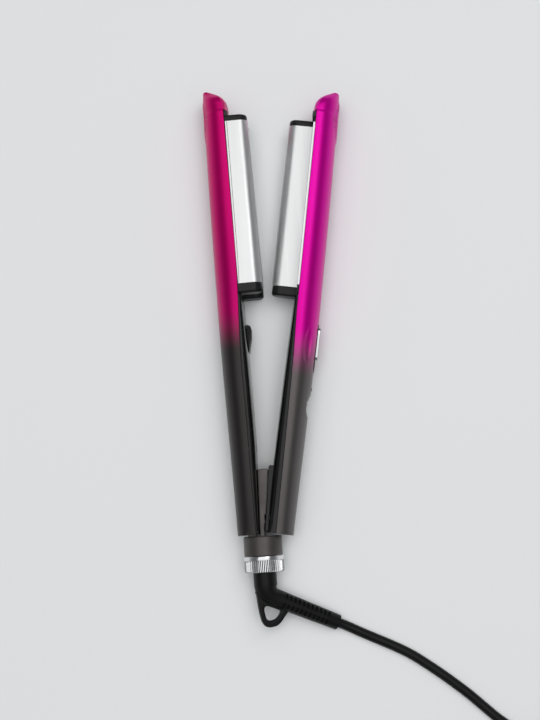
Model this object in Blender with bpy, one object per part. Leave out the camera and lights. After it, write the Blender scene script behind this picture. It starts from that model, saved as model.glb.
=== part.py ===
"""Hair crimper with two sprung arms, lying on its side: twin-barrel left jaw, single-barrel right jaw.

Metres, +Z up. +Y runs along the collar toward the tips and +X toward the right arm. The pieces are
modelled about the collar's upper rim and the arms' mid-plane, and the assembly then stands on Z = 0
with its origin under the middle of the object, the cord and plug left out.
"""

import math

import bmesh
import bpy
import numpy as np
from mathutils import Matrix, Vector

MM = 0.001

# Clearances
GAP = 0.3 * MM
OVERRUN = 1.5 * MM
SMOOTH_ANGLE = math.radians(32)
CURVE_STEPS = 12

# Arms, measured from the datum near the hinge pin: along to the tip, and depth across toward the other arm
ARM_LENGTH = 292.0 * MM
LEFT_TAIL = 11.0 * MM
RIGHT_TAIL = 10.0 * MM
ARM_HALF_WIDTH = 20.5 * MM
ARM_DATUM_X = 2.6 * MM
ARM_DATUM_Y = 12.4 * MM
LEFT_SPLAY = math.radians(1.45)
OPEN_ANGLE = math.radians(10.15)
SHELL_WALL = 2.0 * MM
SHELL_ROUNDNESS = 2.4
SHELL_SEGMENTS = 18
NOSE_SEGMENTS = 6
HOLLOW_SEGMENTS = 12
HOLLOW_STATION_SHARES = (0.0, 0.06, 0.14, 0.3, 0.47, 0.53, 0.58, 0.66, 0.82, 1.0)
SHELL_DEPTH = 20.0 * MM
HANDLE_RIM_DEPTH = 6.4 * MM

# Places along the arm as shares of its length, with the depth of the outer wall as shares of SHELL_DEPTH
LEFT_OUTER_SHARES = (
    (-0.03, 0.955), (0.05, 0.955), (0.11, 0.96), (0.22, 0.973), (0.33, 0.985), (0.44, 0.985),
    (0.55, 0.97), (0.67, 0.952), (0.78, 0.93), (0.86, 0.905), (0.94, 0.872),
)
RIGHT_OUTER_SHARES = (
    (-0.03, 1.0), (0.05, 1.005), (0.11, 1.015), (0.22, 1.03), (0.33, 1.05), (0.44, 1.055),
    (0.55, 1.03), (0.67, 1.002), (0.78, 0.97), (0.86, 0.94), (0.94, 0.908),
)
# Depth of the shell's rim, as shares of HANDLE_RIM_DEPTH
LEFT_RIM_SHARES = (
    (-0.03, 1.04), (0.13, 1.0), (0.22, 0.96), (0.36, 0.98),
    (0.46, 0.82), (0.55, 0.64), (0.72, 0.59), (0.94, 0.59),
)
RIGHT_RIM_SHARES = (
    (-0.03, 1.38), (0.13, 1.31), (0.22, 1.25), (0.38, 1.11),
    (0.47, 0.96), (0.56, 0.90), (0.72, 0.80), (0.94, 0.66),
)
# Depth of the liner's face, as shares of FACE_DEPTH
FACE_DEPTH = 1.5 * MM
LEFT_FACE_SHARES = (
    (-0.03, 2.85), (0.05, 2.1), (0.1, 1.65), (0.15, 1.15),
    (0.26, 0.85), (0.37, 0.8), (0.45, 1.05), (0.52, 1.3),
)
RIGHT_FACE_SHARES = ((-0.03, 1.0), (0.13, 1.0), (0.21, 1.1), (0.32, 1.25), (0.42, 1.6), (0.52, 2.1))
# Half width along the arm, as shares of ARM_HALF_WIDTH
WIDTH_SHARES = (
    (-0.03, 0.73), (0.0, 0.79), (0.05, 0.87), (0.12, 0.95), (0.22, 0.99),
    (0.32, 1.0), (0.37, 1.0), (0.83, 1.0), (0.88, 1.0), (0.94, 0.99),
)
# Stations of the shell past its tail end
SHELL_STATION_SHARES = (
    0.0, 0.05, 0.11, 0.18, 0.26, 0.34, 0.41, 0.48, 0.55, 0.64, 0.74, 0.83, 0.87, 0.905, 0.92, 0.9346,
)

# Nose, closed by a sole that slants up to the outer wall's end
NOSE_ROOT_SHARE = 0.9346
NOSE_ROOT = NOSE_ROOT_SHARE * ARM_LENGTH
NOSE_LENGTH_SHARE = 0.0589
NOSE_LENGTH = NOSE_LENGTH_SHARE * ARM_LENGTH
NOSE_CLEARANCE = 4.3 * MM
# Shares: along the nose, then the depths of its crease, outer wall and sole, and its half width
LEFT_NOSE_SHARES = (
    (0.01, 0.189, 0.872, 0.052, 0.985), (0.2, 0.195, 0.871, 0.049, 0.969), (0.4, 0.235, 0.873, 0.058, 0.944),
    (0.58, 0.313, 0.874, 0.166, 0.859), (0.73, 0.447, 0.874, 0.295, 0.687), (0.86, 0.615, 0.862, 0.464, 0.537),
    (0.95, 0.743, 0.856, 0.625, 0.43), (1.0, 0.801, 0.832, 0.749, 0.2),
)
RIGHT_NOSE_SHARES = (
    (0.01, 0.211, 0.908, 0.082, 0.985), (0.2, 0.219, 0.908, 0.084, 0.974), (0.4, 0.278, 0.908, 0.109, 0.935),
    (0.58, 0.387, 0.905, 0.196, 0.843), (0.73, 0.52, 0.895, 0.312, 0.688), (0.86, 0.642, 0.886, 0.485, 0.529),
    (0.95, 0.758, 0.877, 0.646, 0.4), (1.0, 0.828, 0.858, 0.792, 0.19),
)

# Raised lens-shaped field on the outer face near each tip
FIELD_CENTRE_SHARE = 0.92466
FIELD_CENTRE = FIELD_CENTRE_SHARE * ARM_LENGTH
FIELD_HALF_LENGTH_SHARE = 0.05308
FIELD_HALF_LENGTH = FIELD_HALF_LENGTH_SHARE * ARM_LENGTH
FIELD_HALF_WIDTH = 10.0 * MM
FIELD_HEIGHT = 0.6 * MM

# Liner that closes each handle
LINER_WALL = 2.0 * MM
LINER_ROUNDNESS = 3.2
LINER_SEGMENTS = 12
LINER_HOLLOW_START = 15.0 * MM
LINER_STATION_SHARES = (0.0, 0.06, 0.13, 0.22, 0.36, 0.5, 0.67, 0.82, 0.92, 1.0)

# Jaws: bent aluminium sheet with one or two ribs of round crest
JAW_WALL = 1.2 * MM
JAW_BASE_RISE = 1.5 * MM
JAW_LENGTH_SHARE = 0.37808
JAW_LENGTH = JAW_LENGTH_SHARE * ARM_LENGTH
JAW_INSET = 0.5 * MM
JAW_HALF_WIDTH = ARM_HALF_WIDTH - JAW_INSET
BARREL_WIDTH_SHARE = 0.32
BARREL_HALF_WIDTH = BARREL_WIDTH_SHARE * JAW_HALF_WIDTH
BARREL_OFFSET = JAW_HALF_WIDTH - BARREL_HALF_WIDTH
CREST_SEGMENTS = 10
LEFT_CREST = 12.2 * MM
RIGHT_CREST = 13.2 * MM
RIGHT_CREST_RISE = 1.1 * MM
LEFT_JAW_START_SHARE = 0.5286
LEFT_JAW_START = LEFT_JAW_START_SHARE * ARM_LENGTH
RIGHT_JAW_START_SHARE = 0.52774
RIGHT_JAW_START = RIGHT_JAW_START_SHARE * ARM_LENGTH
CAP_LENGTH_SHARE = 0.021233
CAP_LENGTH = CAP_LENGTH_SHARE * ARM_LENGTH
TIP_CAP_LENGTH_SHARE = 0.014041
TIP_CAP_LENGTH = TIP_CAP_LENGTH_SHARE * ARM_LENGTH
CAP_INSET = 0.5 * MM
CAP_ROUND = 1.8 * MM
CAP_ROUND_SHARES = (0.0, 0.35, 0.65, 0.88, 1.0)
TIP_BLOCK_INSET = 2.5 * MM
TIP_BLOCK_HALF_WIDTH = JAW_HALF_WIDTH - TIP_BLOCK_INSET
TIP_BLOCK_RISE = 2.4 * MM

# Carrier tray under each jaw
CARRIER_INSET = 1.7 * MM
CARRIER_HALF_WIDTH = ARM_HALF_WIDTH - SHELL_WALL - CARRIER_INSET
CARRIER_DEPTH = 4.6 * MM
CARRIER_WALL = 1.4 * MM
CARRIER_CHAMFER = 2.6 * MM

# Heater, its clip and the temperature parts
HEATER_LENGTH_SHARE = 0.8333
HEATER_LENGTH = HEATER_LENGTH_SHARE * JAW_LENGTH
HEATER_DEPTH = 4.2 * MM
CLIP_LENGTH_SHARE = 0.326
CLIP_LENGTH = CLIP_LENGTH_SHARE * JAW_LENGTH
CLIP_SHEET = 0.7 * MM
CLIP_LEG = 2.8 * MM
FUSE_RADIUS = 1.4 * MM
FUSE_LENGTH = 12.0 * MM
THERMISTOR_RADIUS = 1.3 * MM
THERMISTOR_LENGTH = 6.0 * MM
LEAD_RADIUS = 1.1 * MM
LEAD_STEP = 9.0 * MM
LEAD_ACROSS = 6.0 * MM
LEAD_DEPTH = 9.0 * MM
LEAD_START = 3.2 * MM
LEAD_PAST = 9.0 * MM
FUSE_SHARE = 0.2
FUSE_ALONG = FUSE_SHARE * JAW_LENGTH
THERMISTOR_SHARE = 0.7065
THERMISTOR_ALONG = THERMISTOR_SHARE * JAW_LENGTH
THERMISTOR_ACROSS = 9.0 * MM
SMALL_ROUND_SIDES = 12

# Finger ridge on the left liner
RIDGE_START_SHARE = 0.37671
RIDGE_START = RIDGE_START_SHARE * ARM_LENGTH
RIDGE_LENGTH_SHARE = 0.07705
RIDGE_LENGTH = RIDGE_LENGTH_SHARE * ARM_LENGTH
RIDGE_HEIGHT = 2.9 * MM
RIDGE_HALF_WIDTH = 8.0 * MM
RIDGE_SHARES = ((0.0, 0.05), (0.25, 0.45), (0.45, 0.82), (0.62, 1.0), (0.8, 0.9), (0.95, 0.3), (1.0, 0.05))

# Collar, hinge housing and pin
COLLAR_RADIUS = 12.75 * MM
COLLAR_LENGTH = 12.9 * MM
COLLAR_EDGE = 0.6 * MM
COLLAR_BORE_RADIUS = 10.0 * MM
COLLAR_BORE_DEPTH = 9.5 * MM
ROUND_SIDES = 36
PIN_INSET = 4.8 * MM
PIN_RADIUS = 2.0 * MM
PIN_OVERHANG = 3.2 * MM
EYE_RADIUS = 5.0 * MM
HOUSING_WIDTH_SHARE = 0.47317
HOUSING_HALF_WIDTH = HOUSING_WIDTH_SHARE * ARM_HALF_WIDTH
BLOCK_TOP = 31.5 * MM
BLOCK_HEIGHT = 4.9 * MM
# Right edge of the tongue and block: shares of BLOCK_TOP along and of BLOCK_HEIGHT across
BLOCK_SHARES = ((-0.42, -0.2), (-0.22, -0.16), (0.47, 0.69), (0.5, 0.78), (0.95, 1.0), (1.0, 0.86))
SPIGOT_LENGTH = 15.0 * MM
SPIGOT_HALF_WIDTH = 8.0 * MM
SPIGOT_NEAR = 6.9 * MM
SPIGOT_FAR = 12.0 * MM
SPRING_POCKET_HALF_WIDTH = 4.6 * MM
CHEEK_THICKNESS = 2.6 * MM
CHEEK_TOP = 34.0 * MM
CHEEK_REACH = 1.3 * MM
CHEEK_DEPTH = 8.0 * MM
FORK_HALF_GAP = HOUSING_HALF_WIDTH + 2 * GAP
PIN_HALF_LENGTH = HOUSING_HALF_WIDTH + PIN_OVERHANG
# Edge of the fork's cheeks: shares of CHEEK_TOP along and of CHEEK_REACH across
CHEEK_SHARES = ((-0.285, -3.2), (-0.26, -0.9), (0.35, -0.15), (0.8, 0.75), (0.97, 0.9), (1.0, 0.3))
SEAT_ALONG = 9.0 * MM
SEAT_LENGTH = 3.0 * MM
SEAT_THICKNESS = 1.6 * MM

# Opening spring round the hinge pin
SPRING_RADIUS = 3.2 * MM
SPRING_WIRE_RADIUS = 0.6 * MM
SPRING_TURNS = 4
SPRING_LEG = 11.0 * MM
SPRING_POINTS_PER_TURN = 8

# Lock ring and swivel
RING_RADIUS = 12.55 * MM
RING_SMOOTH_LENGTH = 2.4 * MM
RING_GROOVE = 0.3 * MM
RING_LENGTH = 10.4 * MM
RING_BORE_RADIUS = 8.1 * MM
KNURL_COUNT = 54
KNURL_DEPTH = 0.45 * MM
CORE_RADIUS = 9.5 * MM
CORE_FLANGE = 2.0 * MM
CORE_BARREL_RADIUS = 6.0 * MM
CORE_LENGTH = 8.6 * MM
CORE_BORE_RADIUS = 3.6 * MM

# Boot, an elbow with a tapered slotted arm and a hanging loop
BOOT_NECK_RADIUS = 7.7 * MM
BOOT_ARM_ROOT_RADIUS = 6.1 * MM
BOOT_END_RADIUS = 5.15 * MM
BOOT_ELBOW_DROP = 38.0 * MM
BOOT_ELBOW_RADIUS = 9.0 * MM
BOOT_ARM_REACH = 48.1 * MM
BOOT_ARM_DROP = 22.0 * MM
BOOT_ROLL = math.radians(17.5)
BOOT_SIDES = 18
BOOT_ELBOW_STEPS = 7
SLOT_COUNT = 11
SLOT_FIRST = 12.6 * MM
SLOT_PITCH = 3.15 * MM
SLOT_LENGTH = 1.6 * MM
SLOT_DEPTH = 1.3 * MM
SLOT_HALF_SPAN = 2.0 * MM
SLOT_SPREAD = math.radians(31)
LOOP_HALF_THICKNESS = 2.4 * MM
LOOP_WIDTH = 20.0 * MM
LOOP_DROP = 24.0 * MM
# Loop outline and hole in the boot's own plane: shares of LOOP_WIDTH across and LOOP_DROP down from the elbow
LOOP_OUTER_SHARES = (
    (-0.36, 0.1), (-0.33, -0.02), (-0.28, -0.4), (-0.2, -0.72), (-0.1, -0.86), (0.02, -0.905), (0.16, -0.9),
    (0.3, -0.87), (0.42, -0.8), (0.56, -0.66), (0.69, -0.5), (0.62, -0.3), (0.3, 0.0), (0.0, 0.1),
)
LOOP_HOLE_SHARES = (
    (-0.11, -0.39), (-0.07, -0.34), (0.03, -0.33), (0.36, -0.44), (0.455, -0.48), (0.43, -0.54),
    (0.31, -0.66), (0.19, -0.71), (0.03, -0.715), (-0.06, -0.65), (-0.1, -0.5),
)

# Slider in its slotted bezel on the right arm's outer wall
SLIDER_LENGTH_SHARE = 0.08219
SLIDER_LENGTH = SLIDER_LENGTH_SHARE * ARM_LENGTH
SLIDER_HALF_WIDTH = 4.0 * MM
SLIDER_PROUD = 1.9 * MM
SLIDER_TRAVEL_SHARE = 0.25
SLIDER_TRAVEL = SLIDER_TRAVEL_SHARE * SLIDER_LENGTH
SLIDER_THICKNESS = 4.0 * MM
SLIDER_FRONT_SHARE = 0.44589
SLIDER_FRONT = SLIDER_FRONT_SHARE * ARM_LENGTH
RIDGE_COUNT = 12
SLIDER_RIDGE_DEPTH = 0.45 * MM
SLIDER_SMOOTH_END = 5.0 * MM
SLIDER_PLAIN_END = 2.5 * MM
RIDGE_PITCH = (SLIDER_LENGTH - SLIDER_SMOOTH_END - SLIDER_PLAIN_END) / (RIDGE_COUNT - 1)
SLIDER_EDGE = 0.6 * MM
STEM_HALF_LENGTH = 2.0 * MM
STEM_HALF_WIDTH = 1.0 * MM
BEZEL_MARGIN = 1.1 * MM
BEZEL_FLOOR = 1.0 * MM
BEZEL_PROUD = 0.2 * MM
OVAL_SEGMENTS = 6
SCOOP_CENTRE_SHARE = 0.39212
SCOOP_CENTRE = SCOOP_CENTRE_SHARE * ARM_LENGTH
SCOOP_HALF_LENGTH = 10.5 * MM
SCOOP_DEPTH = 1.3 * MM
SCOOP_HALF_HEIGHT = 4.2 * MM
SCOOP_LEVEL = 15.6 * MM
SCOOP_ACROSS_SHARE = 0.85854
SCOOP_ACROSS = SCOOP_ACROSS_SHARE * ARM_HALF_WIDTH
SCOOP_TILT = math.radians(42)
SCOOP_SEGMENTS = 9

# Power button in a round dish
BUTTON_CENTRE_SHARE = 0.26027
BUTTON_CENTRE = BUTTON_CENTRE_SHARE * ARM_LENGTH
BUTTON_RADIUS = 4.0 * MM
BUTTON_TRAVEL = 0.8 * MM
BUTTON_PROUD = 0.6 * MM
BUTTON_FLANGE = 1.1 * MM
BUTTON_FLANGE_HEIGHT = 0.9 * MM
DISH_DEPTH = 2.0 * MM
DISH_HALF_WIDTH = 7.2 * MM
DISH_BOSS_RADIUS = 8.6 * MM
# Rings of the dish, from outside its edge to its middle, as shares of its half width
DISH_SHARES = (1.25, 1.0, 0.8, 0.6, 0.4, 0.15)
DISH_BOSS_DEPTH = 3.2 * MM
LIGHT_RADIUS = 1.2 * MM
LIGHT_LENGTH = 3.4 * MM
LIGHT_OFFSET = 11.5 * MM
LIGHT_PROUD = 0.3 * MM

# Liner screws
SCREW_HEAD_RADIUS = 2.6 * MM
SCREW_HEAD = 1.6 * MM
SCREW_RADIUS = 1.3 * MM
SCREW_LENGTH = 9.0 * MM
SCREW_SINK = 0.8 * MM
SCREW_BOSS_RADIUS = 3.2 * MM
REAR_SCREW_PAST_CHEEK = 12.0 * MM
REAR_SCREW = CHEEK_TOP + REAR_SCREW_PAST_CHEEK
FRONT_SCREW_SETBACK = 6.5 * MM
FRONT_SCREW = RIGHT_JAW_START - CAP_LENGTH - FRONT_SCREW_SETBACK

# Control board and its switches
BOARD_START_SHARE = 0.21233
BOARD_START = BOARD_START_SHARE * ARM_LENGTH
BOARD_END_GAP = 1.8 * MM
BOARD_LENGTH = FRONT_SCREW - SCREW_BOSS_RADIUS - BOARD_END_GAP - BOARD_START
BOARD_WIDTH_SHARE = 0.53659
BOARD_HALF_WIDTH = BOARD_WIDTH_SHARE * ARM_HALF_WIDTH
BOARD_THICKNESS = 1.6 * MM
BOARD_LEVEL = 10.6 * MM
BOARD_POST_RADIUS = 1.5 * MM
BOARD_POST_INSET = 3.0 * MM
POST_SIDES = 8
SWITCH_LENGTH = 13.0 * MM
SWITCH_HALF_WIDTH = 3.5 * MM
TACT_HALF_WIDTH = 3.1 * MM
TACT_PLUNGER_RADIUS = 1.6 * MM
TACT_PLUNGER = 0.8 * MM
CAPACITOR_RADIUS = 2.6 * MM
CAPACITOR_LENGTH = 11.0 * MM
CHIP_HALF_WIDTH = 3.0 * MM
CHIP_LENGTH = 8.0 * MM
CHIP_HEIGHT = 1.6 * MM
CAPACITOR_SHARE = 0.33562
CAPACITOR_ALONG = CAPACITOR_SHARE * ARM_LENGTH
CHIP_SHARE = 0.40411
CHIP_ALONG = CHIP_SHARE * ARM_LENGTH
PART_ACROSS = 4.0 * MM

# Cord, its coil, the tie and the plug
CORD_RADIUS = 3.2 * MM
# Places along the table in the collar's frame, in mm from the boot's end: (x, y, height of the middle)
CORD_ROUTE = (
    (49.7, -61.8, 4.85), (54.5, -64.2, 3.9), (61.5, -67.9, 3.55), (72.2, -73.1, 3.5),
    (82.8, -78.3, 3.5), (93.3, -84.2, 3.5), (103.1, -91.1, 3.5), (112.5, -98.2, 3.5),
    (121.6, -105.6, 3.5), (130.4, -113.2, 3.5), (139.0, -121.4, 3.5), (148.3, -130.0, 3.5),
    (159.0, -137.4, 3.8), (172.0, -141.3, 4.2),
)
TAIL_ROUTE = (
    (182.0, -242.0, 11.3), (174.0, -243.7, 10.0), (166.0, -245.7, 8.2),
    (158.0, -247.2, 7.2), (153.0, -247.7, 7.1),
)
CORD_TUBE_STEP = 13.0 * MM
COIL_X = 196.0 * MM
COIL_Y = -190.0 * MM
COIL_LEVEL = 4.5 * MM
COIL_CLIMB_START = 3.25
COIL_CLIMB_END = 3.75
COIL_TURNS = 7.5
COIL_CLIMB_DIP = 0.9 * MM
COIL_OUTER_RADIUS = 48.0 * MM
COIL_PITCH = 7.0 * MM
COIL_LAYER_RISE = 7.1 * MM
COIL_POINTS_PER_TURN = 24
COIL_MEASURE_STEP = 1.0 * MM
COIL_MEASURE_SKIP = 26.0 * MM
COIL_END_RUN = 7.0 * MM
TIE_WALL = 0.7 * MM
TIE_HALF_LENGTH = 4.0 * MM
TIE_NEAR_SLACK = 1.0 * MM
TIE_SLACK = 0.35 * MM
TIE_CORNER = 3.0 * MM
# Part of a turn from the tie to the coil's end
TIE_TURN_SHARE = 0.75
PLUG_LENGTH = 35.0 * MM
PLUG_HALF_WIDTH = 17.5 * MM
PLUG_HALF_HEIGHT = 6.8 * MM
PLUG_SEGMENTS = 24
# Plug body: shares of its length, of its half width and of its half height
PLUG_SHARES = (
    (0.0, 0.26, 0.66), (0.3, 0.3, 0.72), (0.46, 0.62, 0.86),
    (0.62, 0.94, 1.0), (0.94, 1.0, 1.0), (1.0, 0.93, 0.86),
)
PLUG_ROUNDNESS = 3.0
PLUG_PIN_RADIUS = 2.0 * MM
PLUG_PIN_LENGTH = 19.0 * MM
PLUG_PIN_SPACING = 19.0 * MM


def clear_scene():
    for obj in list(bpy.data.objects):
        bpy.data.objects.remove(obj, do_unlink=True)


def material(name, colour, roughness, metallic=0.0):
    found = bpy.data.materials.get(name)
    if found:
        return found
    made = bpy.data.materials.new(name)
    made.use_nodes = True
    shader = made.node_tree.nodes["Principled BSDF"]
    shader.inputs["Base Color"].default_value = (*colour, 1.0)
    shader.inputs["Roughness"].default_value = roughness
    shader.inputs["Metallic"].default_value = metallic
    return made


def solid(name, points, faces):
    """A mesh object with its faces turned outward."""
    mesh = bpy.data.meshes.new(name)
    mesh.from_pydata([tuple(p) for p in points], [], faces)
    work = bmesh.new()
    work.from_mesh(mesh)
    bmesh.ops.remove_doubles(work, verts=work.verts, dist=GAP / 1000)
    bmesh.ops.recalc_face_normals(work, faces=work.faces)
    work.to_mesh(mesh)
    work.free()
    obj = bpy.data.objects.new(name, mesh)
    bpy.context.scene.collection.objects.link(obj)
    return obj


def loft(name, rings, loops=False):
    """Joins rings of equal count; the ends get caps, or meet each other where the rings loop."""
    count = len(rings[0])
    points = [p for ring in rings for p in ring]
    faces = []
    last = len(rings) if loops else len(rings) - 1
    for i in range(last):
        a = i * count
        b = (i + 1) % len(rings) * count
        for j in range(count):
            k = (j + 1) % count
            faces.append((a + j, a + k, b + k, b + j))
    if not loops:
        faces.append(tuple(range(count)))
        faces.append(tuple(range(len(points) - count, len(points))))
    return solid(name, points, faces)


def extrude(name, outline, place, low, high):
    """Extrudes an outline between two levels; place(point, level) gives each point in space."""
    return loft(name, [[place(p, level) for p in outline] for level in (low, high)])


def circle(radius, sides, turn=0.0):
    steps = [turn + 2 * math.pi * i / sides for i in range(sides)]
    return [(radius * math.cos(a), radius * math.sin(a)) for a in steps]


def turned(name, profile, sides=ROUND_SIDES, loops=False):
    """Turns a profile of (radius, along) points round the Y axis; a looped profile is a ring."""
    rings = []
    for radius, along in profile:
        rings.append([(x, along, z) for x, z in circle(radius, sides)])
    return loft(name, rings, loops)


def combine(target, other, operation):
    """Applies one Boolean and removes the other shape."""
    step = target.modifiers.new(operation.lower(), "BOOLEAN")
    step.object = other
    step.operation = operation
    step.solver = "EXACT"
    graph = bpy.context.evaluated_depsgraph_get()
    result = bpy.data.meshes.new_from_object(target.evaluated_get(graph))
    target.modifiers.clear()
    old = target.data
    target.data = result
    bpy.data.meshes.remove(old)
    bpy.data.objects.remove(other, do_unlink=True)
    return target


def cut(target, *cutters):
    for cutter in cutters:
        combine(target, cutter, "DIFFERENCE")
    return target


def join(target, *others):
    for other in others:
        combine(target, other, "UNION")
    return target


def smooth_value(table, x):
    """A curve through (x, value) rows, flat past its ends."""
    xs = np.array([row[0] for row in table], float)
    ys = np.array([row[1] for row in table], float)
    if x <= xs[0]:
        return float(ys[0])
    if x >= xs[-1]:
        return float(ys[-1])
    slopes = np.gradient(ys, xs)
    i = int(np.searchsorted(xs, x) - 1)
    span = xs[i + 1] - xs[i]
    t = (x - xs[i]) / span
    keep, near, far = (1 + 2 * t) * (1 - t) ** 2, t * (1 - t) ** 2, t * t * (t - 1)
    return float(keep * ys[i] + near * span * slopes[i] + (1 - keep) * ys[i + 1] + far * span * slopes[i + 1])


def finish(obj, look, parent, location=(0.0, 0.0, 0.0), rotation=(0.0, 0.0, 0.0)):
    obj.data.materials.clear()
    obj.data.materials.append(look)
    if obj.type == "MESH":
        obj.data.shade_smooth()
        obj.data.set_sharp_from_angle(angle=SMOOTH_ANGLE)
    obj.parent = parent
    obj.location = location
    obj.rotation_euler = rotation
    return obj


def empty(name, parent=None, location=(0.0, 0.0, 0.0), rotation=(0.0, 0.0, 0.0)):
    made = bpy.data.objects.new(name, None)
    bpy.context.scene.collection.objects.link(made)
    made.parent = parent
    made.location = location
    made.rotation_euler = rotation
    return made


def tube(name, points, radius, resolution):
    """A closed tube along the points."""
    curve = bpy.data.curves.new(name, "CURVE")
    curve.dimensions = "3D"
    curve.bevel_depth = radius
    curve.bevel_resolution = resolution
    curve.use_fill_caps = True
    line = curve.splines.new("POLY")
    line.points.add(len(points) - 1)
    for spot, place in zip(line.points, points):
        spot.co = (*place, 1.0)
    obj = bpy.data.objects.new(name, curve)
    bpy.context.scene.collection.objects.link(obj)
    return obj


def through(points, step):
    """Points about a step apart on a smooth curve through the given ones."""
    p = [np.array(q, float) for q in points]
    p = [2 * p[0] - p[1]] + p + [2 * p[-1] - p[-2]]
    fine = []
    for a, b, c, d in zip(p, p[1:], p[2:], p[3:]):
        for t in np.linspace(0, 1, CURVE_STEPS, endpoint=False):
            bend = 2 * b + (c - a) * t + (2 * a - 5 * b + 4 * c - d) * t**2
            fine.append((bend + (3 * b - a - 3 * c + d) * t**3) / 2)
    fine.append(p[-2])
    fine = np.array(fine)
    along = np.concatenate([[0], np.cumsum(np.linalg.norm(np.diff(fine, axis=0), axis=1))])
    at = np.linspace(0, along[-1], max(2, round(along[-1] / step) + 1))
    return np.stack([np.interp(at, along, fine[:, k]) for k in range(3)], axis=1)


class Arm:
    """One arm's outlines. Its own frame: +Y to the tip, Z across, and depth toward the other arm."""

    def __init__(
        self, name, side, axis_depth, tail, outer, rim, face, nose, jaw_start, barrels, crest, crest_rise,
    ):
        self.name = name
        self.side = side
        self.axis_depth = axis_depth
        self.tail = tail
        self.outer_shares = outer
        self.rim_shares = rim
        self.face_shares = face
        self.nose_shares = nose
        self.jaw_start = jaw_start
        self.barrels = barrels
        self.crest_start = crest
        self.crest_rise = crest_rise
        self.lift = 0.0
        run = np.linspace(jaw_start, self.jaw_end(), 2 * SHELL_SEGMENTS)
        self.lift = max(self.rim(s) + JAW_BASE_RISE - self.floor(s) for s in run)

    def point(self, along, depth, across):
        return (self.side * (depth - self.axis_depth), along, across)

    def outer(self, along):
        return -SHELL_DEPTH * smooth_value(self.outer_shares, along / ARM_LENGTH)

    def rim(self, along):
        return -HANDLE_RIM_DEPTH * smooth_value(self.rim_shares, along / ARM_LENGTH)

    def face(self, along):
        return -FACE_DEPTH * smooth_value(self.face_shares, along / ARM_LENGTH)

    def half_width(self, along):
        return ARM_HALF_WIDTH * smooth_value(WIDTH_SHARES, along / ARM_LENGTH)

    def liner_front(self):
        return self.jaw_start - CAP_LENGTH - 2 * GAP

    def jaw_end(self):
        return self.jaw_start + JAW_LENGTH

    def crest(self, along):
        return self.crest_start + self.crest_rise * (along - self.jaw_start) / JAW_LENGTH

    def floor(self, along):
        """The jaw's base is straight and stays a set height over the rim's highest place."""
        start, end = self.rim(self.jaw_start), self.rim(self.jaw_end())
        share = (along - self.jaw_start) / JAW_LENGTH
        return start + (end - start) * share + JAW_BASE_RISE + self.lift

    def part(self, suffix):
        return f"{self.name}_{suffix}"


def power(value, exponent):
    return math.copysign(abs(value) ** exponent, value)


def section(arm, along, centre, outer, inner, half_width, roundness, outer_count, inner_count, field=0.0):
    """A closed ring made of two rounded halves, each with its own depth from the shared centre line."""
    ring = []
    for i in range(outer_count + 1):
        a = math.pi * i / outer_count
        across = half_width * power(math.cos(a), 2 / roundness)
        depth = centre - outer * abs(math.sin(a)) ** (2 / roundness)
        lens = 1 - (across / FIELD_HALF_WIDTH) ** 2 - ((along - FIELD_CENTRE) / FIELD_HALF_LENGTH) ** 2
        depth -= field * min(1.0, 3 * max(0.0, lens))
        ring.append(arm.point(along, depth, across))
    for i in range(1, inner_count):
        a = math.pi * i / inner_count
        across = -half_width * power(math.cos(a), 2 / roundness)
        depth = centre + inner * abs(math.sin(a)) ** (2 / roundness)
        ring.append(arm.point(along, depth, across))
    return ring


def box(arm, name, along, depth, across):
    """A block in an arm's frame, from its low and high place on each axis."""
    corners = [(along[0], depth[0]), (along[1], depth[0]), (along[1], depth[1]), (along[0], depth[1])]
    return extrude(name, corners, lambda p, z: arm.point(p[0], p[1], z), across[0], across[1])


def post(arm, name, along, across, low, high, radius, sides=SMALL_ROUND_SIDES):
    """A round post standing across the arm's depth."""
    outline = circle(radius, sides, math.pi / sides)
    return extrude(name, outline, lambda p, d: arm.point(along + p[0], d, across + p[1]), low, high)


def oval(half_length, half_width):
    """Outline with straight sides and round ends, along and across."""
    straight = half_length - half_width
    ends = [math.pi * i / OVAL_SEGMENTS - math.pi / 2 for i in range(OVAL_SEGMENTS + 1)]
    right = [(straight + half_width * math.cos(a), half_width * math.sin(a)) for a in ends]
    return right + [(-x, -z) for x, z in right]


def shell_body(arm):
    """Outer wall of an arm: a trough with a closed nose."""
    rings = []
    for s in [-arm.tail] + [share * ARM_LENGTH for share in SHELL_STATION_SHARES]:
        centre = arm.rim(s)
        ring = section(
            arm, s, centre, centre - arm.outer(s), 0.0, arm.half_width(s),
            SHELL_ROUNDNESS, SHELL_SEGMENTS, NOSE_SEGMENTS, FIELD_HEIGHT,
        )
        rings.append(ring)
    for step, crease, outer, sole, wide in arm.nose_shares:
        ring = section(
            arm, NOSE_ROOT + step * NOSE_LENGTH, -SHELL_DEPTH * crease, SHELL_DEPTH * (outer - crease),
            SHELL_DEPTH * (crease - sole), ARM_HALF_WIDTH * wide,
            SHELL_ROUNDNESS, SHELL_SEGMENTS, NOSE_SEGMENTS, FIELD_HEIGHT,
        )
        rings.append(ring)
    body = loft(arm.part("shell"), rings)
    hollow = []
    start, end = -arm.tail + SHELL_WALL, NOSE_ROOT - SHELL_WALL
    for share in HOLLOW_STATION_SHARES:
        s = start + (end - start) * share
        centre = arm.rim(s)
        half = arm.half_width(s) - SHELL_WALL
        depth = centre - arm.outer(s) - SHELL_WALL
        ring = section(arm, s, centre, depth, 0.0, half, SHELL_ROUNDNESS, HOLLOW_SEGMENTS, 1)
        top = centre + NOSE_CLEARANCE
        ring += [arm.point(s, top, -half), arm.point(s, top, half)]
        hollow.append(ring)
    return cut(body, loft("hollow", hollow))


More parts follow.
